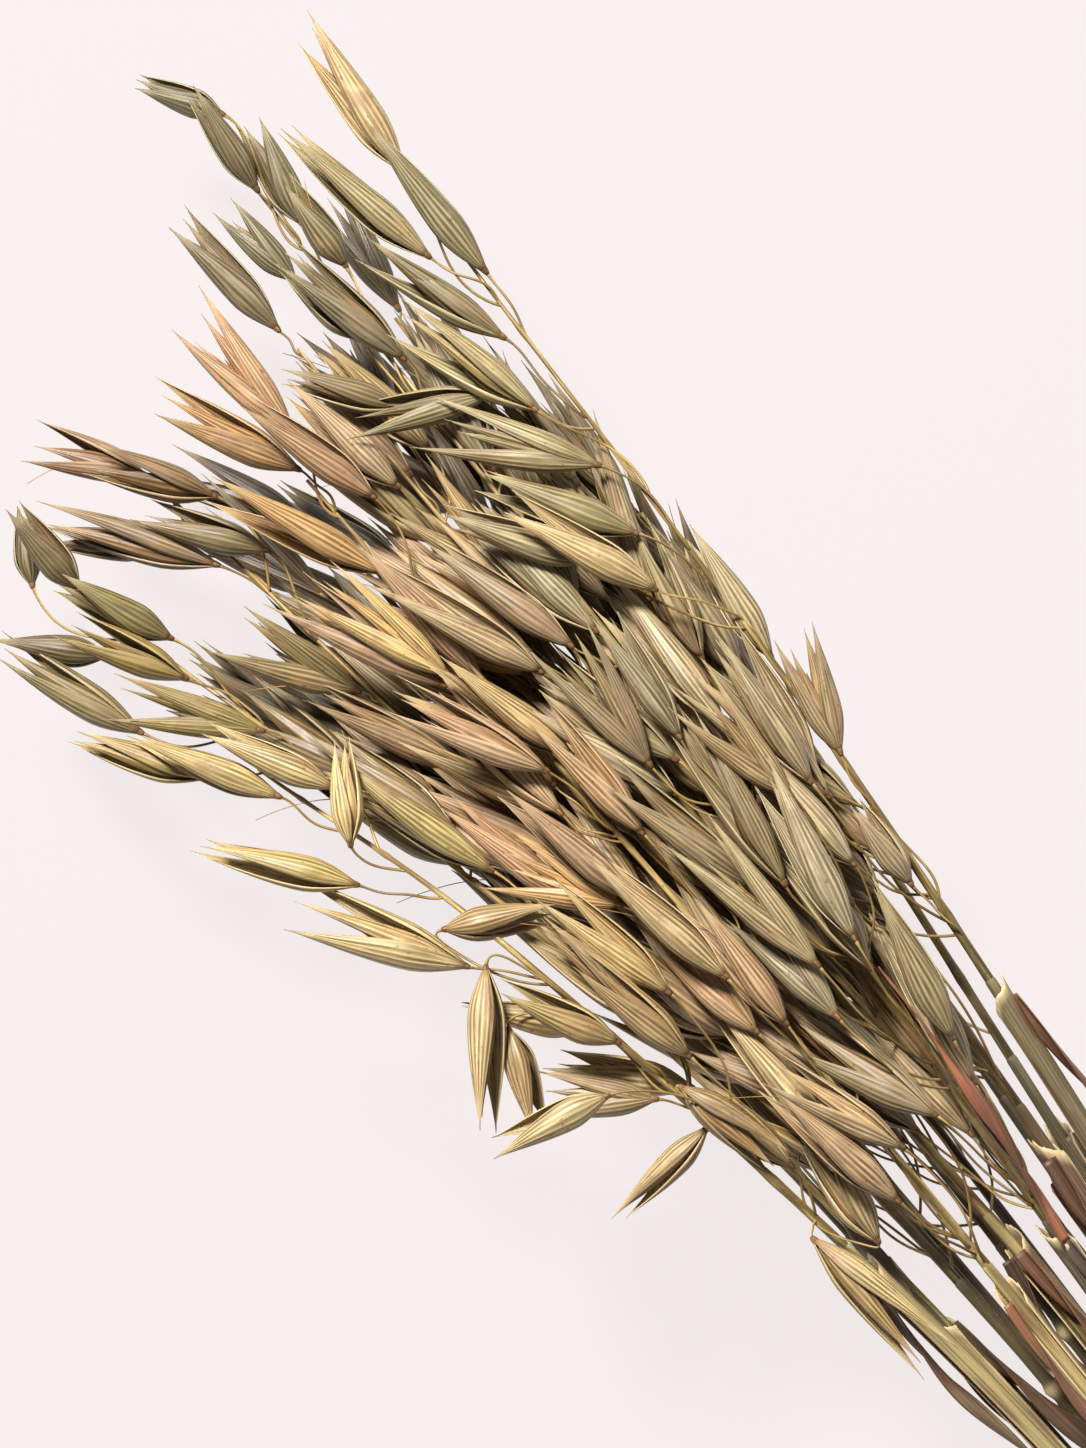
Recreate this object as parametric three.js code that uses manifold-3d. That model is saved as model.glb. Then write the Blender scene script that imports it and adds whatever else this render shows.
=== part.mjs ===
// A tied bunch of dried common oats, lying on its side on a flat surface.
// Millimetres, +Z up. -X points to the tips of the panicles and +X to the cut ends of the stems.
// The bunch is laid out round its tie, at x = 0, y = 0, and then moved so that the origin is the
// middle of its bottom.
import * as THREE from "three";
import { mergeVertices } from "three/addons/utils/BufferGeometryUtils.js";
import Module from "manifold-3d";

const wasm = await Module();
wasm.setup();

// Driving dimensions of the bunch.
const CUT_END = 230; // from the tie to the cut ends
const NECK = 110; // from the tie to where the stems leave the bundle, towards the tips
const HEAD = 200; // from the tie to the middle of the panicles, towards the tips
const TIE_HEIGHT = 20; // the bundle's middle above the surface, at the tie
const TIE_WIDTH = 7;
const TIE_WALL = 1.4;
const TIE_CORNER = 4;
const TIE_SLACK = 0.2; // more room over and under the bundle, where it isn't pulled as tight
const FOOT_SPREAD = 2.1; // how far the cut ends spread, against the bundle in the tie
const FOOT_HEIGHT = 13; // the middle of the cut ends above the surface
const NECK_STRAY = 1.6; // how far a stem strays up or down from its row
const HEAD_STRAY = 4;
const CLEARANCE = 0.35; // least gap between separate pieces

// Stems and sheaths.
const CULM_RADIUS = 1.3;
const LANE_PITCH = 2 * CULM_RADIUS + 0.9; // between neighbouring stems of a row, inside the tie
const ROW_PITCH = 2 * CULM_RADIUS + 0.6; // between rows of stems, inside the tie
const CULM_SIDES = 5;
const JOINT_SWELL = 0.45; // how far a stem's joint stands out
const JOINT_LENGTH = 3.2;
const CULM_KNOTS = [0, 0.8, 1.6, 2, 2.4]; // where every stem has a ring of points
const BARE_KNOT = 2.75; // and one more where it has no sheath
const LEAST_STEP = 0.008; // between two rings, in knots
const RACHIS_RADIUS = 0.7; // where the panicle starts
const RACHIS_TIP_RADIUS = 0.4;
const RACHIS_SIDES = 3;
const RACHIS_STEPS = 10;
const RACHIS_STEP_OUT = 0.15; // how much wider than its rachis a stem ends
const SHEATH_WALL = 0.5;
const SHEATH_STEPS = 4;
const SHEATH_SECTORS = 6;
const SHEATH_FLARE = 0.5; // how much wider a sheath is where its blade broke off
const SHEATH_SLIT = 70; // degrees of the stem that a sheath leaves open

// Spikelets.
const SPIKELET_SIDES = 3;
const PEDICEL_RADIUS = 0.35;
const SPIKELET_LENGTH = [19, 27]; // shortest and longest
const SPIKELET_HALF_WIDTH = 1.9;
const FULL_LENGTH = 25; // a spikelet this long has its full width
const SLIMMEST = 0.82; // and the shortest have nearly this share of it
const GLUME_HALF_WIDTH = 1.45; // each half of a spikelet that gapes open
const BELLY = 0.35; // where a spikelet is widest, as a share of its length
const GAPE_SHARE = 0.28; // share of the spikelets whose two glumes stand apart
const GAPE_ANGLE = [12, 24];
const STALK_REACH = [34, 6]; // how far a stalk reaches along the stem: lowest whorl and tip
const STALK_OUT = [15, 3]; // and away from the stem
const REACH_SHARES = [0.45, 1.1]; // least and most of that reach
const OUT_SHARES = [0.25, 1];
const FLATNESS = 0.8; // how flat a lying bunch is, against its width
const PLACE_TRIES = 120;
const STALK_BOW = 0.22; // how far a stalk bows outwards, as a share of its reach
const STALK_START = 0.25; // how far along it bows
const STALK_END = 0.35; // how much of it lies in line with its spikelet
const SHORT_STALK = 16; // a stalk this short is straight
const WHORL_STEP = 0.14; // between the whorls of the outer spikelets, in knots
const STALK_SPACING = 0.9; // between the stalks of a whorl, along the stem
const STALK_LEAD = 8; // least distance of an outer stalk's root behind its spikelet
const STALK_TURN = 2.4; // radians round the stem from one outer stalk to the next
const LIFT_STEP = 1.1; // how far an outer spikelet moves up or down in search of room
const LIFT_PITCH = 6; // and how many degrees it tips
const TOUCHING = 0.95; // share of their radii that touching spikelets keep apart
const NEAR_ROOT = 0.8; // and that a spikelet keeps from the root of a stalk
const NOBODY = -1; // owns what every panicle keeps clear of
const TIE_KNOT = 2; // the tie, in knots along a stem's route
const LAST_KNOT = 5; // the tip of a stem's route, whose cut end is knot 0
const LAST_WHORL = 4.98; // the furthest whorl

// How spikelets point: they fan out from the middle line of the bunch.
const FAN_MIDDLE = -12; // degrees from -X towards +Y, on the middle line
const FAN_PER_MM = 0.7; // degrees more for each millimetre towards +Y
const FAN_SCATTER = 13;
const PITCH_SCATTER = 14;
const DROOP = 4; // degrees that they point down, on average

// Rows of stems from the top of the bunch down: the height of each at the neck and at the head.
const ROWS = [
  { neck: 37, head: 50 },
  { neck: 30, head: 38 },
  { neck: 23, head: 26 },
  { neck: 16.5, head: 13.5 },
];

// Each stem: its row, its y at the neck and at the head, and the tip of its panicle, whose first
// number is its distance beyond the head. whorls says where its panicle starts and ends, in knots
// along the stem. Rows run from +Y to -Y, which is the order of the stems in the tie.
const STEMS = [
  { row: 0, neck: 21, head: 30, tip: [84, 33, 40], whorls: [3.55, 3.9] },
  { row: 0, neck: 10, head: 14, tip: [112, 16, 22], whorls: [3.2, 4.5] },
  { row: 0, neck: 0, head: -2, tip: [74, -5, 36], whorls: [3.2, 4.7] },
  { row: 0, neck: -11, head: -24, tip: [46, -37, 30], whorls: [3.35, 3.8] },
  { row: 1, neck: 16, head: 22, tip: [62, 22, 33], whorls: [3.35, 5] },
  { row: 1, neck: 11.5, head: 8, tip: [90, 6, 28], whorls: [3.2, 5] },
  { row: 1, neck: 5, head: 1, tip: [50, 5, 30], whorls: [3.25, 5] },
  { row: 1, neck: -4, head: -12, tip: [84, -22, 26], whorls: [3.2, 4.5] },
  { row: 1, neck: -9.5, head: -20, tip: [80, -41, 20], whorls: [3.25, 4.4] },
  { row: 2, neck: 18, head: 28, tip: [40, 30, 22], whorls: [3.4, 5] },
  { row: 2, neck: 11, head: 17, tip: [85, 20, 18], whorls: [3.25, 5] },
  { row: 2, neck: 3, head: 5, tip: [70, 10, 20], whorls: [3.2, 5] },
  { row: 2, neck: -4, head: -8, tip: [55, -14, 18], whorls: [3.25, 5] },
  { row: 2, neck: -11, head: -18, tip: [40, -28, 16], whorls: [3.35, 5] },
  { row: 3, neck: 15, head: 22, tip: [25, 25, 9], whorls: [3.35, 5] },
  { row: 3, neck: 6, head: 9, tip: [62, 13, 9], whorls: [3.25, 5] },
  { row: 3, neck: -3, head: -5, tip: [68, -7, 8], whorls: [3.25, 5] },
  { row: 3, neck: -11, head: -16, tip: [35, -21, 8], whorls: [3.35, 5] },
];
// Spikelets at each whorl, from the lowest to the tip: the upper stems' and the lower stems'.
const WHORL_SIZES = [7, 6, 6, 5, 3, 1];
const LOWER_WHORL_SIZES = [6, 5, 5, 4, 2, 1];

// The spikelets that hang clear of the mass and draw its outline, by stem.
// Each is its base's distance beyond the head and its y, the degrees that it points from -X
// towards +Y, its length, and the degrees that its two glumes stand apart.
const OUTER_SPIKELETS = new Map([
  [0, [
    [100, 34, 4, 24, 0], [88, 29, -11, 27, 0], [81, 34, 0, 25, 0], [72, 30, -19, 24, 0],
    [61, 27, -17, 23, 0], [67, 23, -62, 19, 0], [49, 29, -38, 24, 16], [38, 27, -32, 23, 0],
    [39, 19, -32, 20, 0], [30, 24, -21, 24, 0], [12, 31, 6, 20, 0], [-5, 30, 16, 19, 18],
    [-12, 27, -19, 19, 0], [-19, 25, -10, 15, 0], [-26, 26, 5, 13, 0],
  ]],
  [1, [
    [124, 19, -29, 13, 0], [112, 16, 5, 16, 0], [104, 18, 12, 16, 0], [95, 19, 4, 14, 0],
    [98, 12, -6, 14, 14], [85, 14, -5, 14, 0], [79, 17, -9, 23, 0], [74, 12, -36, 16, 0],
  ]],
  [2, [
    [81, -2, -5, 22, 18], [76, -5, -24, 22, 0], [66, 1, -14, 22, 0],
  ]],
  [3, [
    [41, -37, -29, 21, 0], [37, -30, -26, 20, 0], [29, -33, 34, 14, 0], [24, -36, -38, 22, 0],
    [5, -31, -32, 26, 0], [11, -30, 121, 15, 0], [3, -29, -141, 21, 0], [-6, -32, -158, 15, 0],
    [-13, -23, -41, 17, 0], [-27, -22, -48, 16, 22], [-35, -19, -97, 17, 0], [-28, -18, 166, 17, 0],
    [-57, -17, 173, 23, 0], [-63, -10, 6, 18, 0],
    [-17, -21, -26, 17, 0], [-29, -17, -40, 19, 0], [-47, -13, -9, 18, 0], [-22, -27, -75, 17, 0],
  ]],
  [7, [
    [90, -23, -34, 16, 0], [81, -17, -35, 19, 0], [73, -23, -35, 25, 0], [70, -16, -34, 18, 0],
    [80, -28, -45, 16, 0],
  ]],
  [8, [
    [88, -46, 29, 11, 0], [83, -41, 1, 14, 0], [69, -35, -25, 18, 0], [73, -44, -43, 15, 0],
    [63, -37, -25, 18, 0], [61, -47, -21, 23, 0], [50, -44, -34, 19, 0], [50, -33, -39, 22, 16],
  ]],
]);

// The edges of the mass: distances beyond the head, with the lowest and the highest y there.
const OUTLINE = [
  [-85, -8, 11],
  [-39, -12, 18],
  [-7, -18, 26],
  [29, -26, 30],
  [50, -37, 29],
  [85, -41, 24],
  [120, -45, 22],
];

// Leaf sheaths still on the stems: the stem, and where each starts and ends in knots.
const SHEATHS = [
  { stem: 0, from: 3.05, to: 3.45 },
  { stem: 1, from: 2.62, to: 3.1 },
  { stem: 2, from: 2.66, to: 3.08 },
  { stem: 3, from: 2.7, to: 3.22 },
  { stem: 4, from: 2.64, to: 3.2 },
  { stem: 6, from: 2.7, to: 3.12 },
  { stem: 8, from: 2.68, to: 3.1 },
  { stem: 9, from: 2.66, to: 3.2 },
  { stem: 14, from: 2.64, to: 3.15 },
  { stem: 17, from: 2.64, to: 3.18 },
];

const vec = (x, y, z) => new THREE.Vector3(x, y, z);
const mix = (a, b, share) => a + (b - a) * share;

// A repeatable stream of numbers from 0 to 1.
function randomStream(seed) {
  let state = Math.imul(seed, 2654435761) >>> 0;
  return () => {
    state = (Math.imul(state, 1664525) + 1013904223) >>> 0;
    return state / 4294967296;
  };
}

const FOOT_STRAY = vec(7, 1.4, 1.2); // how far the cut ends stray from an even bundle
const MIDDLE_STRAY = vec(0, 0.6, 0.5); // and half way to them
const MIDDLE_SPREAD = 1.4; // how far the bundle has spread there

// The smooth route of each stem through its knots: cut end, half way, tie, neck, head and tip.
function stemRoutes() {
  const lanes = ROWS.map((_, row) => STEMS.filter((stem) => stem.row === row).length);
  const used = ROWS.map(() => 0);
  return STEMS.map((stem, index) => {
    const lane = (lanes[stem.row] - 1) / 2 - used[stem.row]++;
    const y = lane * LANE_PITCH;
    const rise = ((ROWS.length - 1) / 2 - stem.row) * ROW_PITCH;
    // Each stem strays a little from its lane, by its own share of each unevenness.
    const stray = (step, amount) => (((index * step) % 7) / 3 - 1) * amount;
    const { neck, head } = ROWS[stem.row];
    const [beyond, tipY, tipZ] = stem.tip;
    const foot = vec(
      CUT_END - FOOT_STRAY.x + stray(3, FOOT_STRAY.x),
      y * FOOT_SPREAD + stray(5, FOOT_STRAY.y),
      FOOT_HEIGHT + rise * FOOT_SPREAD + stray(2, FOOT_STRAY.z),
    );
    const middle = vec(
      CUT_END / 2,
      y * MIDDLE_SPREAD + stray(4, MIDDLE_STRAY.y),
      mix(FOOT_HEIGHT, TIE_HEIGHT, 0.5) + rise * MIDDLE_SPREAD + stray(6, MIDDLE_STRAY.z),
    );
    const knots = [
      foot,
      middle,
      vec(0, y, TIE_HEIGHT + rise),
      vec(-NECK, stem.neck, neck + stray(3, NECK_STRAY)),
      vec(-HEAD, stem.head, head + stray(4, HEAD_STRAY)),
      vec(-HEAD - beyond, tipY, tipZ),
    ];
    const route = new THREE.CatmullRomCurve3(knots, false, "catmullrom", 0.5);
    return { at: (knot) => route.getPoint(knot / LAST_KNOT), index };
  });
}

// A solid through rings of points, with flat ends or a last ring that is one point.
function loft(rings) {
  const triangles = [];
  const start = rings[0];
  const end = rings[rings.length - 1];
  for (let i = 1; i < start.length - 1; i++) triangles.push(start[0], start[i + 1], start[i]);
  for (let r = 0; r + 1 < rings.length; r++) {
    const a = rings[r];
    const b = rings[r + 1];
    for (let i = 0; i < a.length; i++) {
      const j = (i + 1) % a.length;
      if (b.length === 1) {
        triangles.push(a[i], a[j], b[0]);
      } else {
        triangles.push(a[i], a[j], b[j], a[i], b[j], b[i]);
      }
    }
  }
  for (let i = 1; i < end.length - 1; i++) triangles.push(end[0], end[i], end[i + 1]);
  return new THREE.BufferGeometry().setFromPoints(triangles);
}

// Two directions square to a path's direction, the first of them level.
function crossAxes(direction) {
  const side = vec(-direction.y, direction.x, 0).normalize();
  const up = vec().crossVectors(direction, side);
  return { side, up };
}

// A ring of points round a centre, square to a direction.
function ring(centre, direction, radius, sides, flatness = 1) {
  const { side, up } = crossAxes(direction);
  return Array.from({ length: sides }, (_, i) => {
    const angle = (2 * Math.PI * i) / sides;
    return centre
      .clone()
      .addScaledVector(side, radius * Math.cos(angle))
      .addScaledVector(up, radius * flatness * Math.sin(angle));
  });
}

// A direction square to a stem, at an angle round it; a lying bunch is flatter than it is wide.
function outwardsAt(along, angle) {
  const { side, up } = crossAxes(along);
  return side.multiplyScalar(Math.cos(angle)).addScaledVector(up, FLATNESS * Math.sin(angle));
}

function directionAt(route, knot) {
  const step = 0.01;
  const ahead = route.at(Math.min(knot + step, LAST_KNOT));
  return ahead.sub(route.at(Math.max(knot - step, 0))).normalize();
}

function solid(geometry) {
  const merged = mergeVertices(geometry, 1e-4);
  return new wasm.Manifold(
    new wasm.Mesh({
      numProp: 3,
      vertProperties: merged.attributes.position.array,
      triVerts: new Uint32Array(merged.index.array),
    }),
  );
}

function geometryOf(manifold) {
  const mesh = manifold.getMesh();
  return new THREE.BufferGeometry()
    .setAttribute("position", new THREE.BufferAttribute(mesh.vertProperties, 3))
    .setIndex(new THREE.BufferAttribute(mesh.triVerts, 1));
}

// Where a stem turns into its panicle, in knots.
const panicleStart = (stem) => stem.whorls[0] - 0.06;

// Where a stem's joints are: one on each side of the tie, and one at the foot of its sheath.
function jointKnots(index) {
  const sheath = SHEATHS.find((one) => one.stem === index);
  const upper = sheath ? sheath.from - 0.04 : 2.88 + 0.05 * (index % 3);
  return [0.6 + 0.09 * (index % 5), upper];
}

function culmSolid(route, stem) {
  const end = panicleStart(stem) - 0.012;
  const joints = jointKnots(route.index);
  const half = JOINT_LENGTH / 2;
  const sheath = SHEATHS.find((one) => one.stem === route.index);
  const bends = sheath ? sheathKnots(sheath) : [BARE_KNOT];
  const stations = [...CULM_KNOTS, ...bends, end].map((knot) => ({ knot, swell: 0 }));
  for (const knot of joints) {
    const reach = half / route.at(knot + 0.5).distanceTo(route.at(knot - 0.5));
    for (const [offset, swell] of [[-reach, 0], [0, JOINT_SWELL], [reach, 0]]) {
      stations.push({ knot: knot + offset, swell });
    }
  }
  stations.sort((a, b) => a.knot - b.knot);
  const rings = [];
  let last = -1;
  for (const { knot, swell } of stations) {
    if (knot - last < LEAST_STEP) continue;
    last = knot;
    const radius = mix(CULM_RADIUS, RACHIS_RADIUS + RACHIS_STEP_OUT, (knot / end) ** 3) + swell;
    rings.push(ring(route.at(knot), directionAt(route, knot), radius, CULM_SIDES));
  }
  return loft(rings);
}

// A stem bends where its sheath bends, so that the gap between them stays even.
function sheathKnots(sheath) {
  return Array.from({ length: SHEATH_STEPS + 1 }, (_, s) =>
    mix(sheath.from, sheath.to, s / SHEATH_STEPS),
  );
}

const sheathOuter = () => CULM_RADIUS + CLEARANCE + SHEATH_WALL;

// A sheath is a tube with a slit along its top, flaring a little where the blade broke off.
function sheathSolid(route, sheath) {
  const slit = THREE.MathUtils.degToRad(SHEATH_SLIT);
  const turn = THREE.MathUtils.degToRad(90 + 37 * (((sheath.stem * 5) % 7) - 3));
  const rings = sheathKnots(sheath).map((knot, s) => {
    const centre = route.at(knot);
    const { side, up } = crossAxes(directionAt(route, knot));
    const flare = SHEATH_FLARE * (s / SHEATH_STEPS) ** 4;
    const inner = CULM_RADIUS + CLEARANCE + flare;
    const open = slit + flare;
    const outline = [];
    for (const [radius, forward] of [[inner + SHEATH_WALL, true], [inner, false]]) {
      for (let i = 0; i <= SHEATH_SECTORS; i++) {
        const share = (forward ? i : SHEATH_SECTORS - i) / SHEATH_SECTORS;
        const angle = turn + open / 2 + share * (2 * Math.PI - open);
        outline.push(
          centre
            .clone()
            .addScaledVector(side, radius * Math.cos(angle))
            .addScaledVector(up, radius * Math.sin(angle)),
        );
      }
    }
    return outline;
  });
  return sleeve(rings, SHEATH_SECTORS + 1);
}

// A solid through rings whose first half is the outside and second half the inside, backwards.
function sleeve(rings, outside) {
  const triangles = [];
  const cap = (outline, flip) => {
    for (let i = 0; i < outside - 1; i++) {
      const a = outline[i];
      const b = outline[i + 1];
      const c = outline[2 * outside - 2 - i];
      const d = outline[2 * outside - 1 - i];
      triangles.push(...(flip ? [a, c, b, a, d, c] : [a, b, c, a, c, d]));
    }
  };
  cap(rings[0], true);
  for (let r = 0; r + 1 < rings.length; r++) {
    const a = rings[r];
    const b = rings[r + 1];
    for (let i = 0; i < a.length; i++) {
      const j = (i + 1) % a.length;
      triangles.push(a[i], a[j], b[j], a[i], b[j], b[i]);
    }
  }
  cap(rings[rings.length - 1], false);
  return new THREE.BufferGeometry().setFromPoints(triangles);
}

// The shortest distance between two stretches of line.
function stretchDistance(a, b, c, d) {
  const u = vec().subVectors(b, a);
  const v = vec().subVectors(d, c);
  const w = vec().subVectors(a, c);
  const uu = u.dot(u);
  const uv = u.dot(v);
  const vv = v.dot(v);
  const uw = u.dot(w);
  const vw = v.dot(w);
  const clamp = (value) => Math.min(Math.max(value, 0), 1);
  const spread = uu * vv - uv * uv;
  let s = spread > 1e-9 ? clamp((uv * vw - vv * uw) / spread) : 0;
  const t = clamp((uv * s + vw) / vv);
  s = clamp((uv * t - uw) / uu);
  return w.addScaledVector(u, s).addScaledVector(v, -t).length();
}

// The stretches of a spikelet, each with the radius that it needs: body and tip of each half.
function spikeletStretches(spikelet) {
  return spikelet.halves.flatMap((direction) => {
    const at = (share) =>
      spikelet.base.clone().addScaledVector(direction, share * spikelet.length);
    return [
      { kind: "body", from: at(0.12), to: at(0.68), radius: spikelet.halfWidth },
      { kind: "body", from: at(0.68), to: at(1), radius: 0.45 * spikelet.halfWidth },
    ];
  });
}

function pedicelPoint(spikelet, share) {
  const rest = 1 - share;
  const [a, b, c, d] = spikelet.pedicel;
  return vec()
    .addScaledVector(a, rest ** 3)
    .addScaledVector(b, 3 * rest * rest * share)
    .addScaledVector(c, 3 * rest * share * share)
    .addScaledVector(d, share ** 3);
}

// The stretches of a stalk: the one that leaves the whorl, and the free one.
function pedicelStretches(spikelet) {
  const shares = [0.12, 0.5, 1];
  return ["root", "stalk"].map((kind, i) => ({
    kind,
    from: pedicelPoint(spikelet, shares[i]),
    to: pedicelPoint(spikelet, shares[i + 1]),
    radius: PEDICEL_RADIUS,
  }));
}

function directionOf(headingDegrees, pitchDegrees) {
  const heading = THREE.MathUtils.degToRad(headingDegrees);
  const pitch = THREE.MathUtils.degToRad(pitchDegrees);
  return vec(
    -Math.cos(heading) * Math.cos(pitch),
    Math.sin(heading) * Math.cos(pitch),
    Math.sin(pitch),
  );
}

// A spikelet on its stalk, which leaves the stem at root, bows outwards and ends along the spikelet.
function makeSpikelet(owner, root, outwards, base, heading, pitch, length, gape) {
  const axis = directionOf(heading, pitch);
  const reach = base.distanceTo(root);
  const fullWidth = gape > 0 ? GLUME_HALF_WIDTH : SPIKELET_HALF_WIDTH;
  const halves =
    gape > 0
      ? [directionOf(heading - gape / 2, pitch), directionOf(heading + gape / 2, pitch + 3)]
      : [axis];
  return {
    owner,
    base,
    halves,
    length,
    halfWidth: fullWidth * mix(SLIMMEST, 1, length / FULL_LENGTH),
    pedicel: [
      root,
      root.clone().lerp(base, STALK_START).addScaledVector(outwards, STALK_BOW * reach),
      base.clone().addScaledVector(axis, -STALK_END * reach),
      base,
    ],
  };
}

// How far apart two stretches must stay. Stalks of one whorl meet at their roots, and what
// grows on one panicle may touch, but another panicle keeps its clearance.
function leastDistance(mine, theirs, own) {
  const sum = mine.radius + theirs.radius;
  if (!own) return sum + CLEARANCE;
  if (mine.kind === "root" || theirs.kind === "stem") return 0;
  if (theirs.kind === "root") return mine.kind === "body" ? NEAR_ROOT * sum : 0;
  return TOUCHING * sum;
}

// Whether a spikelet keeps its distance from everything placed before it.
function hasRoom(spikelet, placed) {
  const stretches = stretchesOf(spikelet);
  if (stretches.some(({ from, to, radius }) => Math.min(from.z, to.z) < radius)) return false;
  return placed.every((other) =>
    stretches.every((mine) => {
      const least = leastDistance(mine, other, other.owner === spikelet.owner);
      return least === 0 || stretchDistance(mine.from, mine.to, other.from, other.to) >= least;
    }),
  );
}

const stretchesOf = (spikelet) => [...spikeletStretches(spikelet), ...pedicelStretches(spikelet)];

function place(spikelet, placed, spikelets) {
  for (const stretch of stretchesOf(spikelet)) placed.push({ owner: spikelet.owner, ...stretch });
  spikelets.push(spikelet);
}

// Every stem as stretches that the spikelets keep clear of. A panicle keeps clear of its own
// stem too, but its stalks start on its rachis.
function stemStretches(routes) {
  const placed = [];
  const steps = 12;
  const lay = (route, from, to, facts) => {
    for (let i = 0; i < steps; i++) {
      placed.push({
        ...facts(mix(from, to, i / steps), mix(from, to, (i + 1) / steps)),
        from: route.at(mix(from, to, i / steps)),
        to: route.at(mix(from, to, (i + 1) / steps)),
      });
    }
  };
  routes.forEach((route, owner) => {
    const start = panicleStart(STEMS[owner]);
    const sheath = SHEATHS.find((one) => one.stem === owner);
    lay(route, TIE_KNOT, start, (a, b) => {
      const sheathed = sheath && b > sheath.from && a < sheath.to;
      const radius = sheathed ? sheathOuter() + SHEATH_FLARE : CULM_RADIUS;
      return { owner: NOBODY, kind: "stem", radius };
    });
    lay(route, start, LAST_KNOT, () => ({ owner, kind: "stem", radius: RACHIS_RADIUS }));
  });
  return placed;
}

// The spikelets of the outline, each moved up or down until it has room.
function placeOuter(routes, placed, spikelets) {
  for (const [owner, list] of OUTER_SPIKELETS) {
    const route = routes[owner];
    const first = STEMS[owner].whorls[0];
    list.forEach(([beyond, y, heading, length, gape], index) => {
      const x = -HEAD - beyond;
      // The stalk leaves the stem some way behind the spikelet.
      let knot = 4.97;
      while (knot > first && route.at(knot).x < x + STALK_LEAD) knot -= 0.03;
      const whorl = Math.max(first, Math.floor(knot / WHORL_STEP) * WHORL_STEP);
      const along = directionAt(route, whorl);
      const root = route.at(whorl).addScaledVector(along, STALK_SPACING * (index % 4));
      const outwards = outwardsAt(along, STALK_TURN * index);
      const level = route.at(knot).z;
      for (let attempt = 0; attempt < PLACE_TRIES; attempt++) {
        const lift = LIFT_STEP * Math.ceil(attempt / 2) * (attempt % 2 ? 1 : -1);
        const pitch = attempt % 3 === 0 ? -DROOP : LIFT_PITCH * Math.sin(attempt);
        const base = vec(x, y, level + lift);
        const made = makeSpikelet(owner, root, outwards, base, heading, pitch, length, gape);
        if (hasRoom(made, placed)) {
          place(made, placed, spikelets);
          break;
        }
      }
    });
  }
}

// Whether a spikelet keeps to the edges of the mass, at its base and at its tip.
function isInOutline(spikelet) {
  const tip = spikelet.base.clone().addScaledVector(spikelet.halves[0], spikelet.length);
  return [spikelet.base, tip].every((point) => {
    const beyond = -HEAD - point.x;
    const next = OUTLINE.findIndex(([at]) => at > beyond);
    if (next < 1) return false;
    const [a, b] = [OUTLINE[next - 1], OUTLINE[next]];
    const share = (beyond - a[0]) / (b[0] - a[0]);
    return point.y > mix(a[1], b[1], share) && point.y < mix(a[2], b[2], share);
  });
}

// The spikelets of the mass, whorl by whorl, each turned round the stem until it has room.
function placeWhorls(routes, placed, spikelets) {
  const whorls = WHORL_SIZES.length;
  const sizesOf = (stem) => (stem.row < 2 ? WHORL_SIZES : LOWER_WHORL_SIZES);
  for (let whorl = whorls - 1; whorl >= 0; whorl--) {
    STEMS.forEach((stem, owner) => {
      const share = whorl / (whorls - 1);
      const knot = Math.min(mix(...stem.whorls, share), LAST_WHORL);
      const along = directionAt(routes[owner], knot);
      for (let i = 0; i < sizesOf(stem)[whorl]; i++) {
        const root = routes[owner].at(knot).addScaledVector(along, -STALK_SPACING * i);
        const random = randomStream(owner * 100 + whorl * 10 + i + 1);
        random();
        for (let attempt = 0; attempt < PLACE_TRIES; attempt++) {
          const outwards = outwardsAt(along, 2 * Math.PI * random());
          const reach = mix(...STALK_REACH, share) * mix(...REACH_SHARES, random());
          const out = mix(...STALK_OUT, share) * mix(...OUT_SHARES, random());
          const scatter = 2 * random() - 1;
          const tilt = 2 * random() - 1;
          const length = mix(...SPIKELET_LENGTH, random());
          const gapes = random() < GAPE_SHARE;
          const opening = mix(...GAPE_ANGLE, random());
          const gape = gapes ? opening : 0;
          const base = root
            .clone()
            .addScaledVector(along, reach)
            .addScaledVector(outwards, out);
          const heading = FAN_MIDDLE + FAN_PER_MM * base.y + FAN_SCATTER * scatter;
          const pitch = PITCH_SCATTER * tilt - DROOP;
          const made = makeSpikelet(owner, root, outwards, base, heading, pitch, length, gape);
          if (isInOutline(made) && hasRoom(made, placed)) {
            place(made, placed, spikelets);
            break;
          }
        }
      }
    });
  }
}

// A spikelet and its stalk as one solid, or two where it gapes.
function spikeletSolids(spikelet) {
  const reach = spikelet.pedicel[0].distanceTo(spikelet.base);
  const stalk = (reach > SHORT_STALK ? [0, 0.5] : [0]).map((share) => {
    const ahead = pedicelPoint(spikelet, share + 0.05).sub(pedicelPoint(spikelet, share));
    return ring(pedicelPoint(spikelet, share), ahead.normalize(), PEDICEL_RADIUS, SPIKELET_SIDES);
  });
  return spikelet.halves.map((direction, index) => {
    const at = (share) => spikelet.base.clone().addScaledVector(direction, share * spikelet.length);
    const body = [
      ring(at(index ? 0.02 : 0), direction, PEDICEL_RADIUS * (index ? 0.7 : 1.3), SPIKELET_SIDES),
      ring(at(BELLY), direction, spikelet.halfWidth, SPIKELET_SIDES),
      [at(1)],
    ];
    return solid(loft(index ? body : [...stalk, ...body]));
  });
}

// A panicle with the pockets filled that its touching spikelets close in.
function withoutPockets(manifold) {
  return wasm.Manifold.union(manifold.decompose().filter((body) => body.volume() > 0));
}

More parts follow.
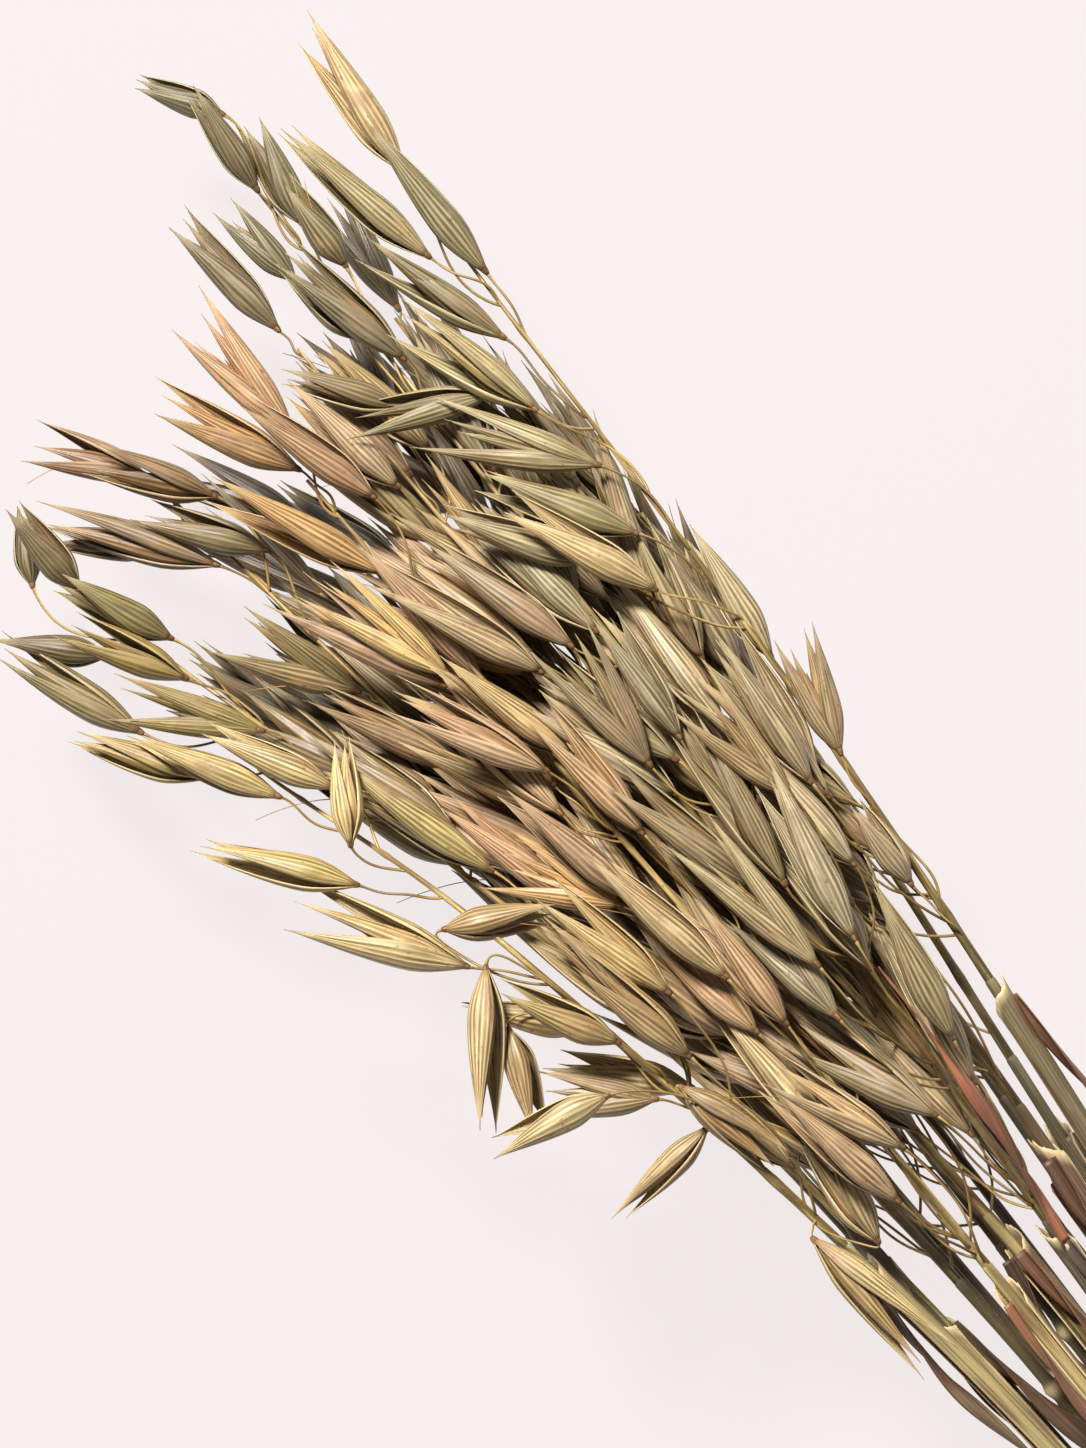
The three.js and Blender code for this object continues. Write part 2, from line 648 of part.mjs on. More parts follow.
function rachisSolid(route, stem) {
  const start = panicleStart(stem);
  const rings = [];
  for (let i = 0; i <= RACHIS_STEPS; i++) {
    const knot = mix(start, LAST_KNOT, i / RACHIS_STEPS);
    const radius = mix(RACHIS_RADIUS, RACHIS_TIP_RADIUS, i / RACHIS_STEPS);
    rings.push(ring(route.at(knot), directionAt(route, knot), radius, RACHIS_SIDES));
  }
  return solid(loft(rings));
}

// The tie is a flat band round the bundle, with its corners rounded to an oval.
function tieSolid() {
  const lanes = Math.max(...ROWS.map((_, row) => STEMS.filter((stem) => stem.row === row).length));
  const room = CULM_RADIUS + CLEARANCE;
  const halfWidth = ((lanes - 1) / 2) * LANE_PITCH + room;
  const halfHeight = ((ROWS.length - 1) / 2) * ROW_PITCH + room + TIE_SLACK;
  const oval = (outline, grow) => {
    const w = halfWidth + grow;
    const h = halfHeight + grow;
    const r = TIE_CORNER + grow;
    outline.moveTo(w - r, -h);
    outline.absarc(w - r, -h + r, r, -Math.PI / 2, 0, false);
    outline.absarc(w - r, h - r, r, 0, Math.PI / 2, false);
    outline.absarc(-w + r, h - r, r, Math.PI / 2, Math.PI, false);
    outline.absarc(-w + r, -h + r, r, Math.PI, 1.5 * Math.PI, false);
    outline.closePath();
    return outline;
  };
  const band = oval(new THREE.Shape(), TIE_WALL);
  band.holes.push(oval(new THREE.Path(), 0));
  const geometry = new THREE.ExtrudeGeometry(band, {
    depth: TIE_WIDTH,
    bevelEnabled: false,
    curveSegments: 3,
  });
  geometry.deleteAttribute("normal");
  geometry.deleteAttribute("uv");
  return geometry
    .translate(0, 0, -TIE_WIDTH / 2)
    .rotateX(Math.PI / 2)
    .rotateZ(Math.PI / 2)
    .translate(0, 0, TIE_HEIGHT);
}

const straw = new THREE.MeshStandardMaterial({ color: 0xb9a671, roughness: 0.6, metalness: 0 });
const glume = new THREE.MeshStandardMaterial({ color: 0xc8b487, roughness: 0.75, metalness: 0 });
const husk = new THREE.MeshStandardMaterial({ color: 0xa5653f, roughness: 0.7, metalness: 0 });
const twine = new THREE.MeshStandardMaterial({ color: 0xa98d5e, roughness: 0.9, metalness: 0 });

const bunch = new THREE.Group();

function addPiece(name, geometry, material) {
  const mesh = new THREE.Mesh(geometry, material.clone());
  mesh.name = name;
  bunch.add(mesh);
}

const number = (index) => String(index + 1).padStart(2, "0");
const routes = stemRoutes();
const spikelets = [];
const placed = stemStretches(routes);
placeOuter(routes, placed, spikelets);
placeWhorls(routes, placed, spikelets);

routes.forEach((route, index) => {
  addPiece("stem_" + number(index), culmSolid(route, STEMS[index]), straw);
});
routes.forEach((route, index) => {
  let panicle = rachisSolid(route, STEMS[index]);
  for (const spikelet of spikelets.filter((one) => one.owner === index)) {
    for (const part of spikeletSolids(spikelet)) panicle = panicle.add(part);
  }
  addPiece("panicle_" + number(index), geometryOf(withoutPockets(panicle)), glume);
});
SHEATHS.forEach((sheath) => {
  addPiece("sheath_" + number(sheath.stem), sheathSolid(routes[sheath.stem], sheath), husk);
});
addPiece("tie", tieSolid(), twine);

// The bunch is moved so that its origin is the middle of its bottom.
const box = new THREE.Box3().setFromObject(bunch);
bunch.position.set(-(box.min.x + box.max.x) / 2, -(box.min.y + box.max.y) / 2, -box.min.z);

export default bunch;
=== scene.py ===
"""A tied bunch of dried common oats, lying on its side.

It has stems, leaf sheaths, panicles of papery spikelets, and a tie. The bunch is laid out in
millimetres round its tie, in the same way as the CAD model, so that each spikelet here is in the
place of its solid. Meshes are made in metres, in the row frame.
-X points to the tips of the panicles, +X to the cut ends, and +Z up.
"""
import math

import bpy
import numpy as np
from mathutils import Matrix, Vector


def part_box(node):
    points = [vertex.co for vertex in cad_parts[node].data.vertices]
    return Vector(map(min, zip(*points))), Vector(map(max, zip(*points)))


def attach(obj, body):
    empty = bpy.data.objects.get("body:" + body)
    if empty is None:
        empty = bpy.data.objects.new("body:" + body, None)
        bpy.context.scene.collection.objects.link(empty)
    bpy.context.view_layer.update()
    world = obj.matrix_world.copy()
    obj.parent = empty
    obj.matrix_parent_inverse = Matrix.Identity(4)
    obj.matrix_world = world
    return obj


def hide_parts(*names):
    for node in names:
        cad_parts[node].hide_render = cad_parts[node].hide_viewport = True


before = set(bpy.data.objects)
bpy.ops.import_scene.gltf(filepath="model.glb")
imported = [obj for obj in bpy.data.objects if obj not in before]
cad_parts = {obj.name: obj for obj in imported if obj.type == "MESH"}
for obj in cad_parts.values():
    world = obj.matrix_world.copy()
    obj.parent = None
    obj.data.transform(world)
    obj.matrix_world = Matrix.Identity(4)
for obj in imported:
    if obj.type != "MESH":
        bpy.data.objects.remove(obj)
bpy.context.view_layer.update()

MM = 0.001
SETTLE = 0.0008  # metres above the floor, below which the bunch is pressed flat

# ---------------------------------------------------------------- the bunch, in millimetres
CUT_END = 230.0  # from the tie to the cut ends
NECK = 110.0  # from the tie to where the stems leave the bundle
HEAD = 200.0  # from the tie to the middle of the panicles
TIE_HEIGHT = 20.0
TIE_WIDTH = 7.0
TIE_SLACK = 0.2
FOOT_SPREAD = 2.1  # how far the cut ends spread, against the bundle in the tie
FOOT_HEIGHT = 13.0
FOOT_STRAY = (7.0, 1.4, 1.2)  # how far the cut ends stray from an even bundle
MIDDLE_SPREAD = 1.4
MIDDLE_STRAY = (0.0, 0.6, 0.5)
NECK_STRAY = 1.6
HEAD_STRAY = 4.0
CLEARANCE = 0.35
CULM_RADIUS = 1.3
LANE_PITCH = 2 * CULM_RADIUS + 0.9
ROW_PITCH = 2 * CULM_RADIUS + 0.6
RACHIS_RADIUS = 0.7
SHEATH_WALL = 0.5
SHEATH_FLARE = 0.5
PEDICEL_RADIUS = 0.35
SPIKELET_LENGTH = (19.0, 27.0)
SPIKELET_HALF_WIDTH = 1.9
FULL_LENGTH = 25.0  # a spikelet this long has its full width
SLIMMEST = 0.82
GLUME_HALF_WIDTH = 1.45
GAPE_SHARE = 0.28
GAPE_ANGLE = (12.0, 24.0)
STALK_REACH = (34.0, 6.0)  # along the stem, in the lowest whorl and at the tip
STALK_OUT = (15.0, 3.0)
REACH_SHARES = (0.45, 1.1)
OUT_SHARES = (0.25, 1.0)
FLATNESS = 0.8  # how flat a lying bunch is, against its width
PLACE_TRIES = 120
STALK_BOW = 0.22
STALK_START = 0.25
STALK_END = 0.35
WHORL_STEP = 0.14
STALK_SPACING = 0.9
STALK_LEAD = 8.0
STALK_TURN = 2.4
LIFT_STEP = 1.1
LIFT_PITCH = 6.0
TOUCHING = 0.95
NEAR_ROOT = 0.8
FAN_MIDDLE = -12.0
FAN_PER_MM = 0.7
FAN_SCATTER = 13.0
PITCH_SCATTER = 14.0
DROOP = 4.0
TIE_KNOT = 2
LAST_KNOT = 5
LAST_WHORL = 4.98
NOBODY = -1
BODY, ROOT, STALK, STEM = range(4)

# The height of each row of stems at the neck and at the head, from the top of the bunch down.
ROWS = [(37.0, 50.0), (30.0, 38.0), (23.0, 26.0), (16.5, 13.5)]

# Each stem: its row, its y at the neck and at the head, its tip, as a distance beyond the head with
# y and z, and the knots where its whorls start and end.
STEMS = [
    (0, 21, 30, (84, 33, 40), (3.55, 3.9)),
    (0, 10, 14, (112, 16, 22), (3.2, 4.5)),
    (0, 0, -2, (74, -5, 36), (3.2, 4.7)),
    (0, -11, -24, (46, -37, 30), (3.35, 3.8)),
    (1, 16, 22, (62, 22, 33), (3.35, 5)),
    (1, 11.5, 8, (90, 6, 28), (3.2, 5)),
    (1, 5, 1, (50, 5, 30), (3.25, 5)),
    (1, -4, -12, (84, -22, 26), (3.2, 4.5)),
    (1, -9.5, -20, (80, -41, 20), (3.25, 4.4)),
    (2, 18, 28, (40, 30, 22), (3.4, 5)),
    (2, 11, 17, (85, 20, 18), (3.25, 5)),
    (2, 3, 5, (70, 10, 20), (3.2, 5)),
    (2, -4, -8, (55, -14, 18), (3.25, 5)),
    (2, -11, -18, (40, -28, 16), (3.35, 5)),
    (3, 15, 22, (25, 25, 9), (3.35, 5)),
    (3, 6, 9, (62, 13, 9), (3.25, 5)),
    (3, -3, -5, (68, -7, 8), (3.25, 5)),
    (3, -11, -16, (35, -21, 8), (3.35, 5)),
]
WHORL_SIZES = (7, 6, 6, 5, 3, 1)
LOWER_WHORL_SIZES = (6, 5, 5, 4, 2, 1)

# The spikelets of the outline, by stem: distance beyond the head, y, heading, length and gape.
OUTER_SPIKELETS = {
    0: [
        (100, 34, 4, 24, 0), (88, 29, -11, 27, 0), (81, 34, 0, 25, 0), (72, 30, -19, 24, 0),
        (61, 27, -17, 23, 0), (67, 23, -62, 19, 0), (49, 29, -38, 24, 16), (38, 27, -32, 23, 0),
        (39, 19, -32, 20, 0), (30, 24, -21, 24, 0), (12, 31, 6, 20, 0), (-5, 30, 16, 19, 18),
        (-12, 27, -19, 19, 0), (-19, 25, -10, 15, 0), (-26, 26, 5, 13, 0),
    ],
    1: [
        (124, 19, -29, 13, 0), (112, 16, 5, 16, 0), (104, 18, 12, 16, 0), (95, 19, 4, 14, 0),
        (98, 12, -6, 14, 14), (85, 14, -5, 14, 0), (79, 17, -9, 23, 0), (74, 12, -36, 16, 0),
    ],
    2: [
        (81, -2, -5, 22, 18), (76, -5, -24, 22, 0), (66, 1, -14, 22, 0),
    ],
    3: [
        (41, -37, -29, 21, 0), (37, -30, -26, 20, 0), (29, -33, 34, 14, 0), (24, -36, -38, 22, 0),
        (5, -31, -32, 26, 0), (11, -30, 121, 15, 0), (3, -29, -141, 21, 0), (-6, -32, -158, 15, 0),
        (-13, -23, -41, 17, 0), (-27, -22, -48, 16, 22), (-35, -19, -97, 17, 0),
        (-28, -18, 166, 17, 0), (-57, -17, 173, 23, 0), (-63, -10, 6, 18, 0),
        (-17, -21, -26, 17, 0), (-29, -17, -40, 19, 0), (-47, -13, -9, 18, 0),
        (-22, -27, -75, 17, 0),
    ],
    7: [
        (90, -23, -34, 16, 0), (81, -17, -35, 19, 0), (73, -23, -35, 25, 0), (70, -16, -34, 18, 0),
        (80, -28, -45, 16, 0),
    ],
    8: [
        (88, -46, 29, 11, 0), (83, -41, 1, 14, 0), (69, -35, -25, 18, 0), (73, -44, -43, 15, 0),
        (63, -37, -25, 18, 0), (61, -47, -21, 23, 0), (50, -44, -34, 19, 0), (50, -33, -39, 22, 16),
    ],
}

# The edges of the mass: distances beyond the head, with the lowest and the highest y there.
OUTLINE = [
    (-85, -8, 11),
    (-39, -12, 18),
    (-7, -18, 26),
    (29, -26, 30),
    (50, -37, 29),
    (85, -41, 24),
    (120, -45, 22),
]

# Leaf sheaths: the stem, and where each starts and ends in knots.
SHEATHS = {
    0: (3.05, 3.45), 1: (2.62, 3.1), 2: (2.66, 3.08), 3: (2.7, 3.22), 4: (2.64, 3.2),
    6: (2.7, 3.12), 8: (2.68, 3.1), 9: (2.66, 3.2), 14: (2.64, 3.15), 17: (2.64, 3.18),
}


def mix(a, b, share):
    return a + (b - a) * share


def unit(vector):
    return vector / np.linalg.norm(vector)


def random_stream(seed, skipped=0):
    """A repeatable stream of numbers from 0 to 1, the same one as the CAD model's."""
    state = (seed * 2654435761) & 0xFFFFFFFF

    def draw():
        nonlocal state
        state = (state * 1664525 + 1013904223) & 0xFFFFFFFF
        return state / 4294967296.0

    for _ in range(skipped):
        draw()
    return draw


class Route:
    """A stem's smooth route through its knots: cut end, half way, tie, neck, head and tip."""

    def __init__(self, index, row, lane, stem):
        _, neck_y, head_y, tip, _ = stem
        y = lane * LANE_PITCH
        rise = ((len(ROWS) - 1) / 2 - row) * ROW_PITCH
        neck_z, head_z = ROWS[row]

        def stray(step, amount):
            return ((index * step) % 7 / 3 - 1) * amount

        foot_x = CUT_END - FOOT_STRAY[0] + stray(3, FOOT_STRAY[0])
        foot_z = FOOT_HEIGHT + rise * FOOT_SPREAD + stray(2, FOOT_STRAY[2])
        half_way = mix(FOOT_HEIGHT, TIE_HEIGHT, 0.5)
        middle_z = half_way + rise * MIDDLE_SPREAD + stray(6, MIDDLE_STRAY[2])
        self.knots = np.array(
            [
                (foot_x, y * FOOT_SPREAD + stray(5, FOOT_STRAY[1]), foot_z),
                (CUT_END / 2, y * MIDDLE_SPREAD + stray(4, MIDDLE_STRAY[1]), middle_z),
                (0, y, TIE_HEIGHT + rise),
                (-NECK, neck_y, neck_z + stray(3, NECK_STRAY)),
                (-HEAD, head_y, head_z + stray(4, HEAD_STRAY)),
                (-HEAD - tip[0], tip[1], tip[2]),
            ],
            float,
        )

    def at(self, knot):
        """The point at a knot number, by a Catmull-Rom spline."""
        knot = min(max(knot, 0), LAST_KNOT)
        low = min(int(knot), LAST_KNOT - 1)
        w = knot - low
        p = self.knots
        before = p[low - 1] if low > 0 else 2 * p[0] - p[1]
        after = p[low + 2] if low + 2 <= LAST_KNOT else 2 * p[-1] - p[-2]
        a, b = p[low], p[low + 1]
        ta, tb = 0.5 * (b - before), 0.5 * (after - a)
        return a + ta * w + (3 * (b - a) - 2 * ta - tb) * w**2 + (2 * (a - b) + ta + tb) * w**3

    def direction(self, knot):
        step = 0.01
        return unit(self.at(knot + step) - self.at(knot - step))


def stem_routes():
    lanes = [sum(stem[0] == row for stem in STEMS) for row in range(len(ROWS))]
    used = [0] * len(ROWS)
    routes = []
    for index, stem in enumerate(STEMS):
        row = stem[0]
        routes.append(Route(index, row, (lanes[row] - 1) / 2 - used[row], stem))
        used[row] += 1
    return routes


def cross_axes(direction):
    """Two directions square to a path's direction, the first of them level."""
    side = unit(np.array([-direction[1], direction[0], 0.0]))
    return side, np.cross(direction, side)


def outwards_at(along, angle):
    side, up = cross_axes(along)
    return side * math.cos(angle) + up * FLATNESS * math.sin(angle)


def direction_of(heading_degrees, pitch_degrees):
    heading, pitch = math.radians(heading_degrees), math.radians(pitch_degrees)
    level = math.cos(pitch)
    return np.array([-math.cos(heading) * level, math.sin(heading) * level, math.sin(pitch)])


def panicle_start(owner):
    return STEMS[owner][4][0] - 0.06


def bezier(points, share):
    rest = 1 - share
    a, b, c, d = points
    return a * rest**3 + b * 3 * rest**2 * share + c * 3 * rest * share**2 + d * share**3


class Spikelet:
    """One spikelet on its stalk, with the room that it takes."""

    def __init__(self, owner, root, outwards, base, heading, pitch, length, gape):
        axis = direction_of(heading, pitch)
        reach = np.linalg.norm(base - root)
        self.owner, self.base, self.axis, self.length, self.gape = owner, base, axis, length, gape
        self.halves = [axis]
        if gape > 0:
            self.halves = [
                direction_of(heading - gape / 2, pitch),
                direction_of(heading + gape / 2, pitch + 3),
            ]
        widest = GLUME_HALF_WIDTH if gape > 0 else SPIKELET_HALF_WIDTH
        self.half_width = widest * mix(SLIMMEST, 1, length / FULL_LENGTH)
        self.pedicel = (
            root,
            mix(root, base, STALK_START) + outwards * STALK_BOW * reach,
            base - axis * STALK_END * reach,
            base,
        )

    def stretches(self):
        """(kind, from, to, radius) of each stretch that needs room."""
        found = []
        for direction in self.halves:
            points = [self.base + direction * share * self.length for share in (0.12, 0.68, 1)]
            found.append((BODY, points[0], points[1], self.half_width))
            found.append((BODY, points[1], points[2], 0.45 * self.half_width))
        shares = (0.12, 0.5, 1)
        for i, kind in enumerate((ROOT, STALK)):
            ends = bezier(self.pedicel, shares[i]), bezier(self.pedicel, shares[i + 1])
            found.append((kind, *ends, PEDICEL_RADIUS))
        return found


class Placed:
    """Everything placed so far, as stretches: owner, kind, start, end and radius."""

    def __init__(self):
        self.columns = [], [], [], [], []
        self.arrays = None

    def add(self, *stretch):
        for column, value in zip(self.columns, stretch):
            column.append(value)
        self.arrays = None

    def distances(self, start, end):
        """The shortest distance from one stretch to each placed one."""
        _, _, starts, ends, _ = self.arrays
        u, v, w = end - start, ends - starts, start - starts
        uu, uv, vv = u @ u, v @ u, np.einsum("ij,ij->i", v, v)
        uw, vw = w @ u, np.einsum("ij,ij->i", v, w)
        spread = uu * vv - uv * uv
        s = np.where(
            spread > 1e-9, np.clip((uv * vw - vv * uw) / np.maximum(spread, 1e-9), 0, 1), 0
        )
        t = np.clip((uv * s + vw) / vv, 0, 1)
        s = np.clip((uv * t - uw) / uu, 0, 1)
        return np.linalg.norm(w + np.outer(s, u) - v * t[:, None], axis=1)

    def has_room(self, spikelet):
        stretches = spikelet.stretches()
        if any(min(a[2], b[2]) < radius for _, a, b, radius in stretches):
            return False
        if self.arrays is None:
            self.arrays = [np.array(column) for column in self.columns]
        owners, kinds, _, _, radii = self.arrays
        own = owners == spikelet.owner
        for kind, start, end, radius in stretches:
            total = radii + radius
            near_root = NEAR_ROOT * total if kind == BODY else 0
            on_own = np.where(kinds == ROOT, near_root, TOUCHING * total)
            on_own = np.where((kinds == STEM) | (kind == ROOT), 0, on_own)
            least = np.where(own, on_own, total + CLEARANCE)
            if np.any((least > 0) & (self.distances(start, end) < least)):
                return False
        return True

    def place(self, spikelet, spikelets):
        for kind, start, end, radius in spikelet.stretches():
            self.add(spikelet.owner, kind, start, end, radius)
        spikelets.append(spikelet)


def place_stems(routes, placed):
    steps = 12
    sheath_radius = CULM_RADIUS + CLEARANCE + SHEATH_WALL + SHEATH_FLARE
    for owner, route in enumerate(routes):
        start = panicle_start(owner)
        sheath = SHEATHS.get(owner)
        for low, high, whose in ((TIE_KNOT, start, NOBODY), (start, LAST_KNOT, owner)):
            for i in range(steps):
                a, b = mix(low, high, i / steps), mix(low, high, (i + 1) / steps)
                radius = RACHIS_RADIUS
                if whose == NOBODY:
                    sheathed = sheath and b > sheath[0] and a < sheath[1]
                    radius = sheath_radius if sheathed else CULM_RADIUS
                placed.add(whose, STEM, route.at(a), route.at(b), radius)


def place_outer(routes, placed, spikelets):
    """The spikelets of the outline, each moved up or down until it has room."""
    for owner, spikelets_of in OUTER_SPIKELETS.items():
        route = routes[owner]
        first = STEMS[owner][4][0]
        for index, (beyond, y, heading, length, gape) in enumerate(spikelets_of):
            x = -HEAD - beyond
            knot = 4.97
            while knot > first and route.at(knot)[0] < x + STALK_LEAD:
                knot -= 0.03
            whorl = max(first, math.floor(knot / WHORL_STEP) * WHORL_STEP)
            along = route.direction(whorl)
            root = route.at(whorl) + along * STALK_SPACING * (index % 4)
            outwards = outwards_at(along, STALK_TURN * index)
            level = route.at(knot)[2]
            for attempt in range(PLACE_TRIES):
                lift = LIFT_STEP * math.ceil(attempt / 2) * (1 if attempt % 2 else -1)
                pitch = -DROOP if attempt % 3 == 0 else LIFT_PITCH * math.sin(attempt)
                base = np.array([x, y, level + lift], float)
                made = Spikelet(owner, root, outwards, base, heading, pitch, length, gape)
                if placed.has_room(made):
                    placed.place(made, spikelets)
                    break


def is_in_outline(spikelet):
    """Whether a spikelet keeps to the edges of the mass, at its base and at its tip."""
    beyond, low, high = np.array(OUTLINE, float).T
    for point in (spikelet.base, spikelet.base + spikelet.halves[0] * spikelet.length):
        away = -HEAD - point[0]
        if not beyond[0] <= away < beyond[-1]:
            return False
        if not np.interp(away, beyond, low) < point[1] < np.interp(away, beyond, high):
            return False
    return True


def place_whorls(routes, placed, spikelets):
    """The spikelets of the mass, whorl by whorl, each turned round the stem until it has room."""
    whorls = len(WHORL_SIZES)
    for whorl in reversed(range(whorls)):
        for owner, (row, _, _, _, span) in enumerate(STEMS):
            share = whorl / (whorls - 1)
            knot = min(mix(*span, share), LAST_WHORL)
            along = routes[owner].direction(knot)
            for i in range((WHORL_SIZES if row < 2 else LOWER_WHORL_SIZES)[whorl]):
                root = routes[owner].at(knot) - along * STALK_SPACING * i
                draw = random_stream(owner * 100 + whorl * 10 + i + 1, 1)
                for _ in range(PLACE_TRIES):
                    outwards = outwards_at(along, 2 * math.pi * draw())
                    reach = mix(*STALK_REACH, share) * mix(*REACH_SHARES, draw())
                    out = mix(*STALK_OUT, share) * mix(*OUT_SHARES, draw())
                    scatter = 2 * draw() - 1
                    tilt = 2 * draw() - 1
                    length = mix(*SPIKELET_LENGTH, draw())
                    gaping, width = draw() < GAPE_SHARE, draw()
                    gape = mix(*GAPE_ANGLE, width) if gaping else 0
                    base = root + along * reach + outwards * out
                    heading = FAN_MIDDLE + FAN_PER_MM * base[1] + FAN_SCATTER * scatter
                    pitch = PITCH_SCATTER * tilt - DROOP
                    made = Spikelet(owner, root, outwards, base, heading, pitch, length, gape)
                    if is_in_outline(made) and placed.has_room(made):
                        placed.place(made, spikelets)
                        break


routes = stem_routes()
spikelets = []
room = Placed()
place_stems(routes, room)
place_outer(routes, room, spikelets)
place_whorls(routes, room, spikelets)

# ---------------------------------------------------------------- meshes
tie_low, tie_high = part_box("tie")
TO_FRAME = np.array((tie_low + tie_high) / 2) - np.array([0, 0, TIE_HEIGHT * MM])


def ring_faces(rows, sides):
    """Faces of four between rings of points, and over the first and the last ring."""
    row = np.arange(rows - 1)[:, None] * sides
    a = np.arange(sides)[None, :]
    b = (a + 1) % sides
    walls = np.stack([row + a, row + b, row + sides + b, row + sides + a], axis=-1)
    i = np.arange(sides // 2 - 1)
    cap = np.stack([i, i + 1, sides - 2 - i, sides - 1 - i], axis=1)
    return np.concatenate([walls.reshape(-1, 4), cap[:, ::-1], cap + (rows - 1) * sides])


class Mesh:
    """Collects closed surfaces in millimetres, with what the materials need at each point.

    tone is the point's colour. marks are the share of a nerve, of a margin, and of the way along.
    grain is a place on the piece's own surface in millimetres, and a number of its own.
    """

    def __init__(self):
        self.points, self.tones, self.marks, self.grains, self.quads = [], [], [], [], []
        self.count = 0

    def add(self, rings, tone, marks, grain):
        """A closed surface through rings of points.

        tone is one colour or one for each ring. Each of the three marks, and of the three parts
        of grain, is a number or an array that spreads over the rings and their points.
        """
        rows, sides = rings.shape[:2]
        self.points.append(rings.reshape(-1, 3))
        tones = np.broadcast_to(np.atleast_2d(tone)[:, None], rings.shape)
        self.tones.append(tones.reshape(-1, 3))
        for kept, parts in ((self.marks, marks), (self.grains, grain)):
            spread = [np.broadcast_to(part, (rows, sides)) for part in parts]
            kept.append(np.stack(spread, axis=-1).reshape(-1, 3))
        self.quads.append(ring_faces(rows, sides) + self.count)
        self.count += rows * sides

    def build(self, name, material):
        points = np.concatenate(self.points) * MM + TO_FRAME
        # What would sink into the floor is pressed flat on it instead.
        low = np.minimum(points[:, 2], SETTLE)
        pressed = SETTLE * np.exp(low / SETTLE - 1)
        points[:, 2] = np.where(points[:, 2] < SETTLE, pressed, points[:, 2])
        quads = np.concatenate(self.quads)
        mesh = bpy.data.meshes.new(name)
        mesh.vertices.add(len(points))
        mesh.vertices.foreach_set("co", points.astype(np.float32).ravel())
        mesh.loops.add(quads.size)
        mesh.loops.foreach_set("vertex_index", quads.astype(np.int32).ravel())
        mesh.polygons.add(len(quads))
        mesh.polygons.foreach_set("loop_start", np.arange(0, quads.size, 4, dtype=np.int32))
        mesh.polygons.foreach_set("use_smooth", np.ones(len(quads), bool))
        tone = mesh.attributes.new("tone", "FLOAT_COLOR", "POINT")
        colours = np.ones((len(points), 4), np.float32)
        colours[:, :3] = np.concatenate(self.tones)
        tone.data.foreach_set("color", colours.ravel())
        for key, values in (("marks", self.marks), ("grain", self.grains)):
            vectors = mesh.attributes.new(key, "FLOAT_VECTOR", "POINT")
            vectors.data.foreach_set("vector", np.concatenate(values).astype(np.float32).ravel())
        mesh.update(calc_edges=True)
        mesh.validate()
        mesh.materials.append(material)
        piece = bpy.data.objects.new(name, mesh)
        bpy.context.scene.collection.objects.link(piece)
        return piece


def linear(*rgb):
    """A colour of 0 to 255 in each channel, as scene-linear light."""
    values = np.array(rgb, float) / 255
    return np.where(values <= 0.04045, values / 12.92, ((values + 0.055) / 1.055) ** 2.4)


def pick(options, draw):
    return options[int(draw() * len(options)) % len(options)]


def rise(value, low, high):
    """How far a value has got from low to high, as a share from 0 to 1."""
    return np.clip((value - low) / (high - low), 0, 1)


def square_to(vector, axis):
    return unit(vector - axis * (vector @ axis))


def turned(vector, axis, degrees):
    angle = math.radians(degrees)
    return (
        vector * math.cos(angle)
        + np.cross(axis, vector) * math.sin(angle)
        + axis * (axis @ vector) * (1 - math.cos(angle))
    )


def directions(points):
    along = np.gradient(points, axis=0)
    return along / np.linalg.norm(along, axis=1)[:, None]


def arc_lengths(points):
    """How far along a path each of its points is."""
    steps = np.linalg.norm(np.diff(points, axis=0), axis=1)
    return np.concatenate([[0], np.cumsum(steps)])


def path_frames(points):
    """Two directions square to a path at each of its points, which don't twist along it."""
    along = directions(points)
    side = np.empty_like(along)
    side[0] = cross_axes(along[0])[0] if abs(along[0, 2]) < 0.98 else (1, 0, 0)
    for i in range(len(points)):
        side[i] = square_to(side[max(i - 1, 0)], along[i])
    return side, np.cross(along, side)


def wave(t):
    """Half a wave over a path's shares, held from 0 to 1."""
    return np.sin(np.pi * np.clip(t, 0, 1))


def there_and_back(outside, inside):
    """Rings that run over the outside of a thin wall and back over its inside."""
    return np.concatenate([outside, inside[:, ::-1]], axis=1)


def mirrored(values):
    return np.concatenate([values, values[::-1]])


def skin(mesh, centres, side, up, radii, tone, lengths, seed, stripe=0.0, pale=0.0):
    """A closed surface through round rings, where pale is one number or one per ring."""
    sides = radii.shape[1]
    angle = 2 * np.pi * np.arange(sides) / sides
    ring = side[:, None] * np.cos(angle)[:, None] + up[:, None] * np.sin(angle)[:, None]
    mesh.add(
        centres[:, None] + ring * radii[:, :, None],
        tone,
        (stripe, np.reshape(pale, (-1, 1)), 0.5),
        (angle * radii.mean(), lengths[:, None], seed),
    )


def tube(mesh, points, radii, sides, tone, seed):
    """A tube along a path, whose radius is one number or one per point."""
    side, up = path_frames(points)
    radii = np.broadcast_to(np.reshape(radii, (-1, 1)), (len(points), sides))
    skin(mesh, points, side, up, radii, tone, arc_lengths(points), seed)


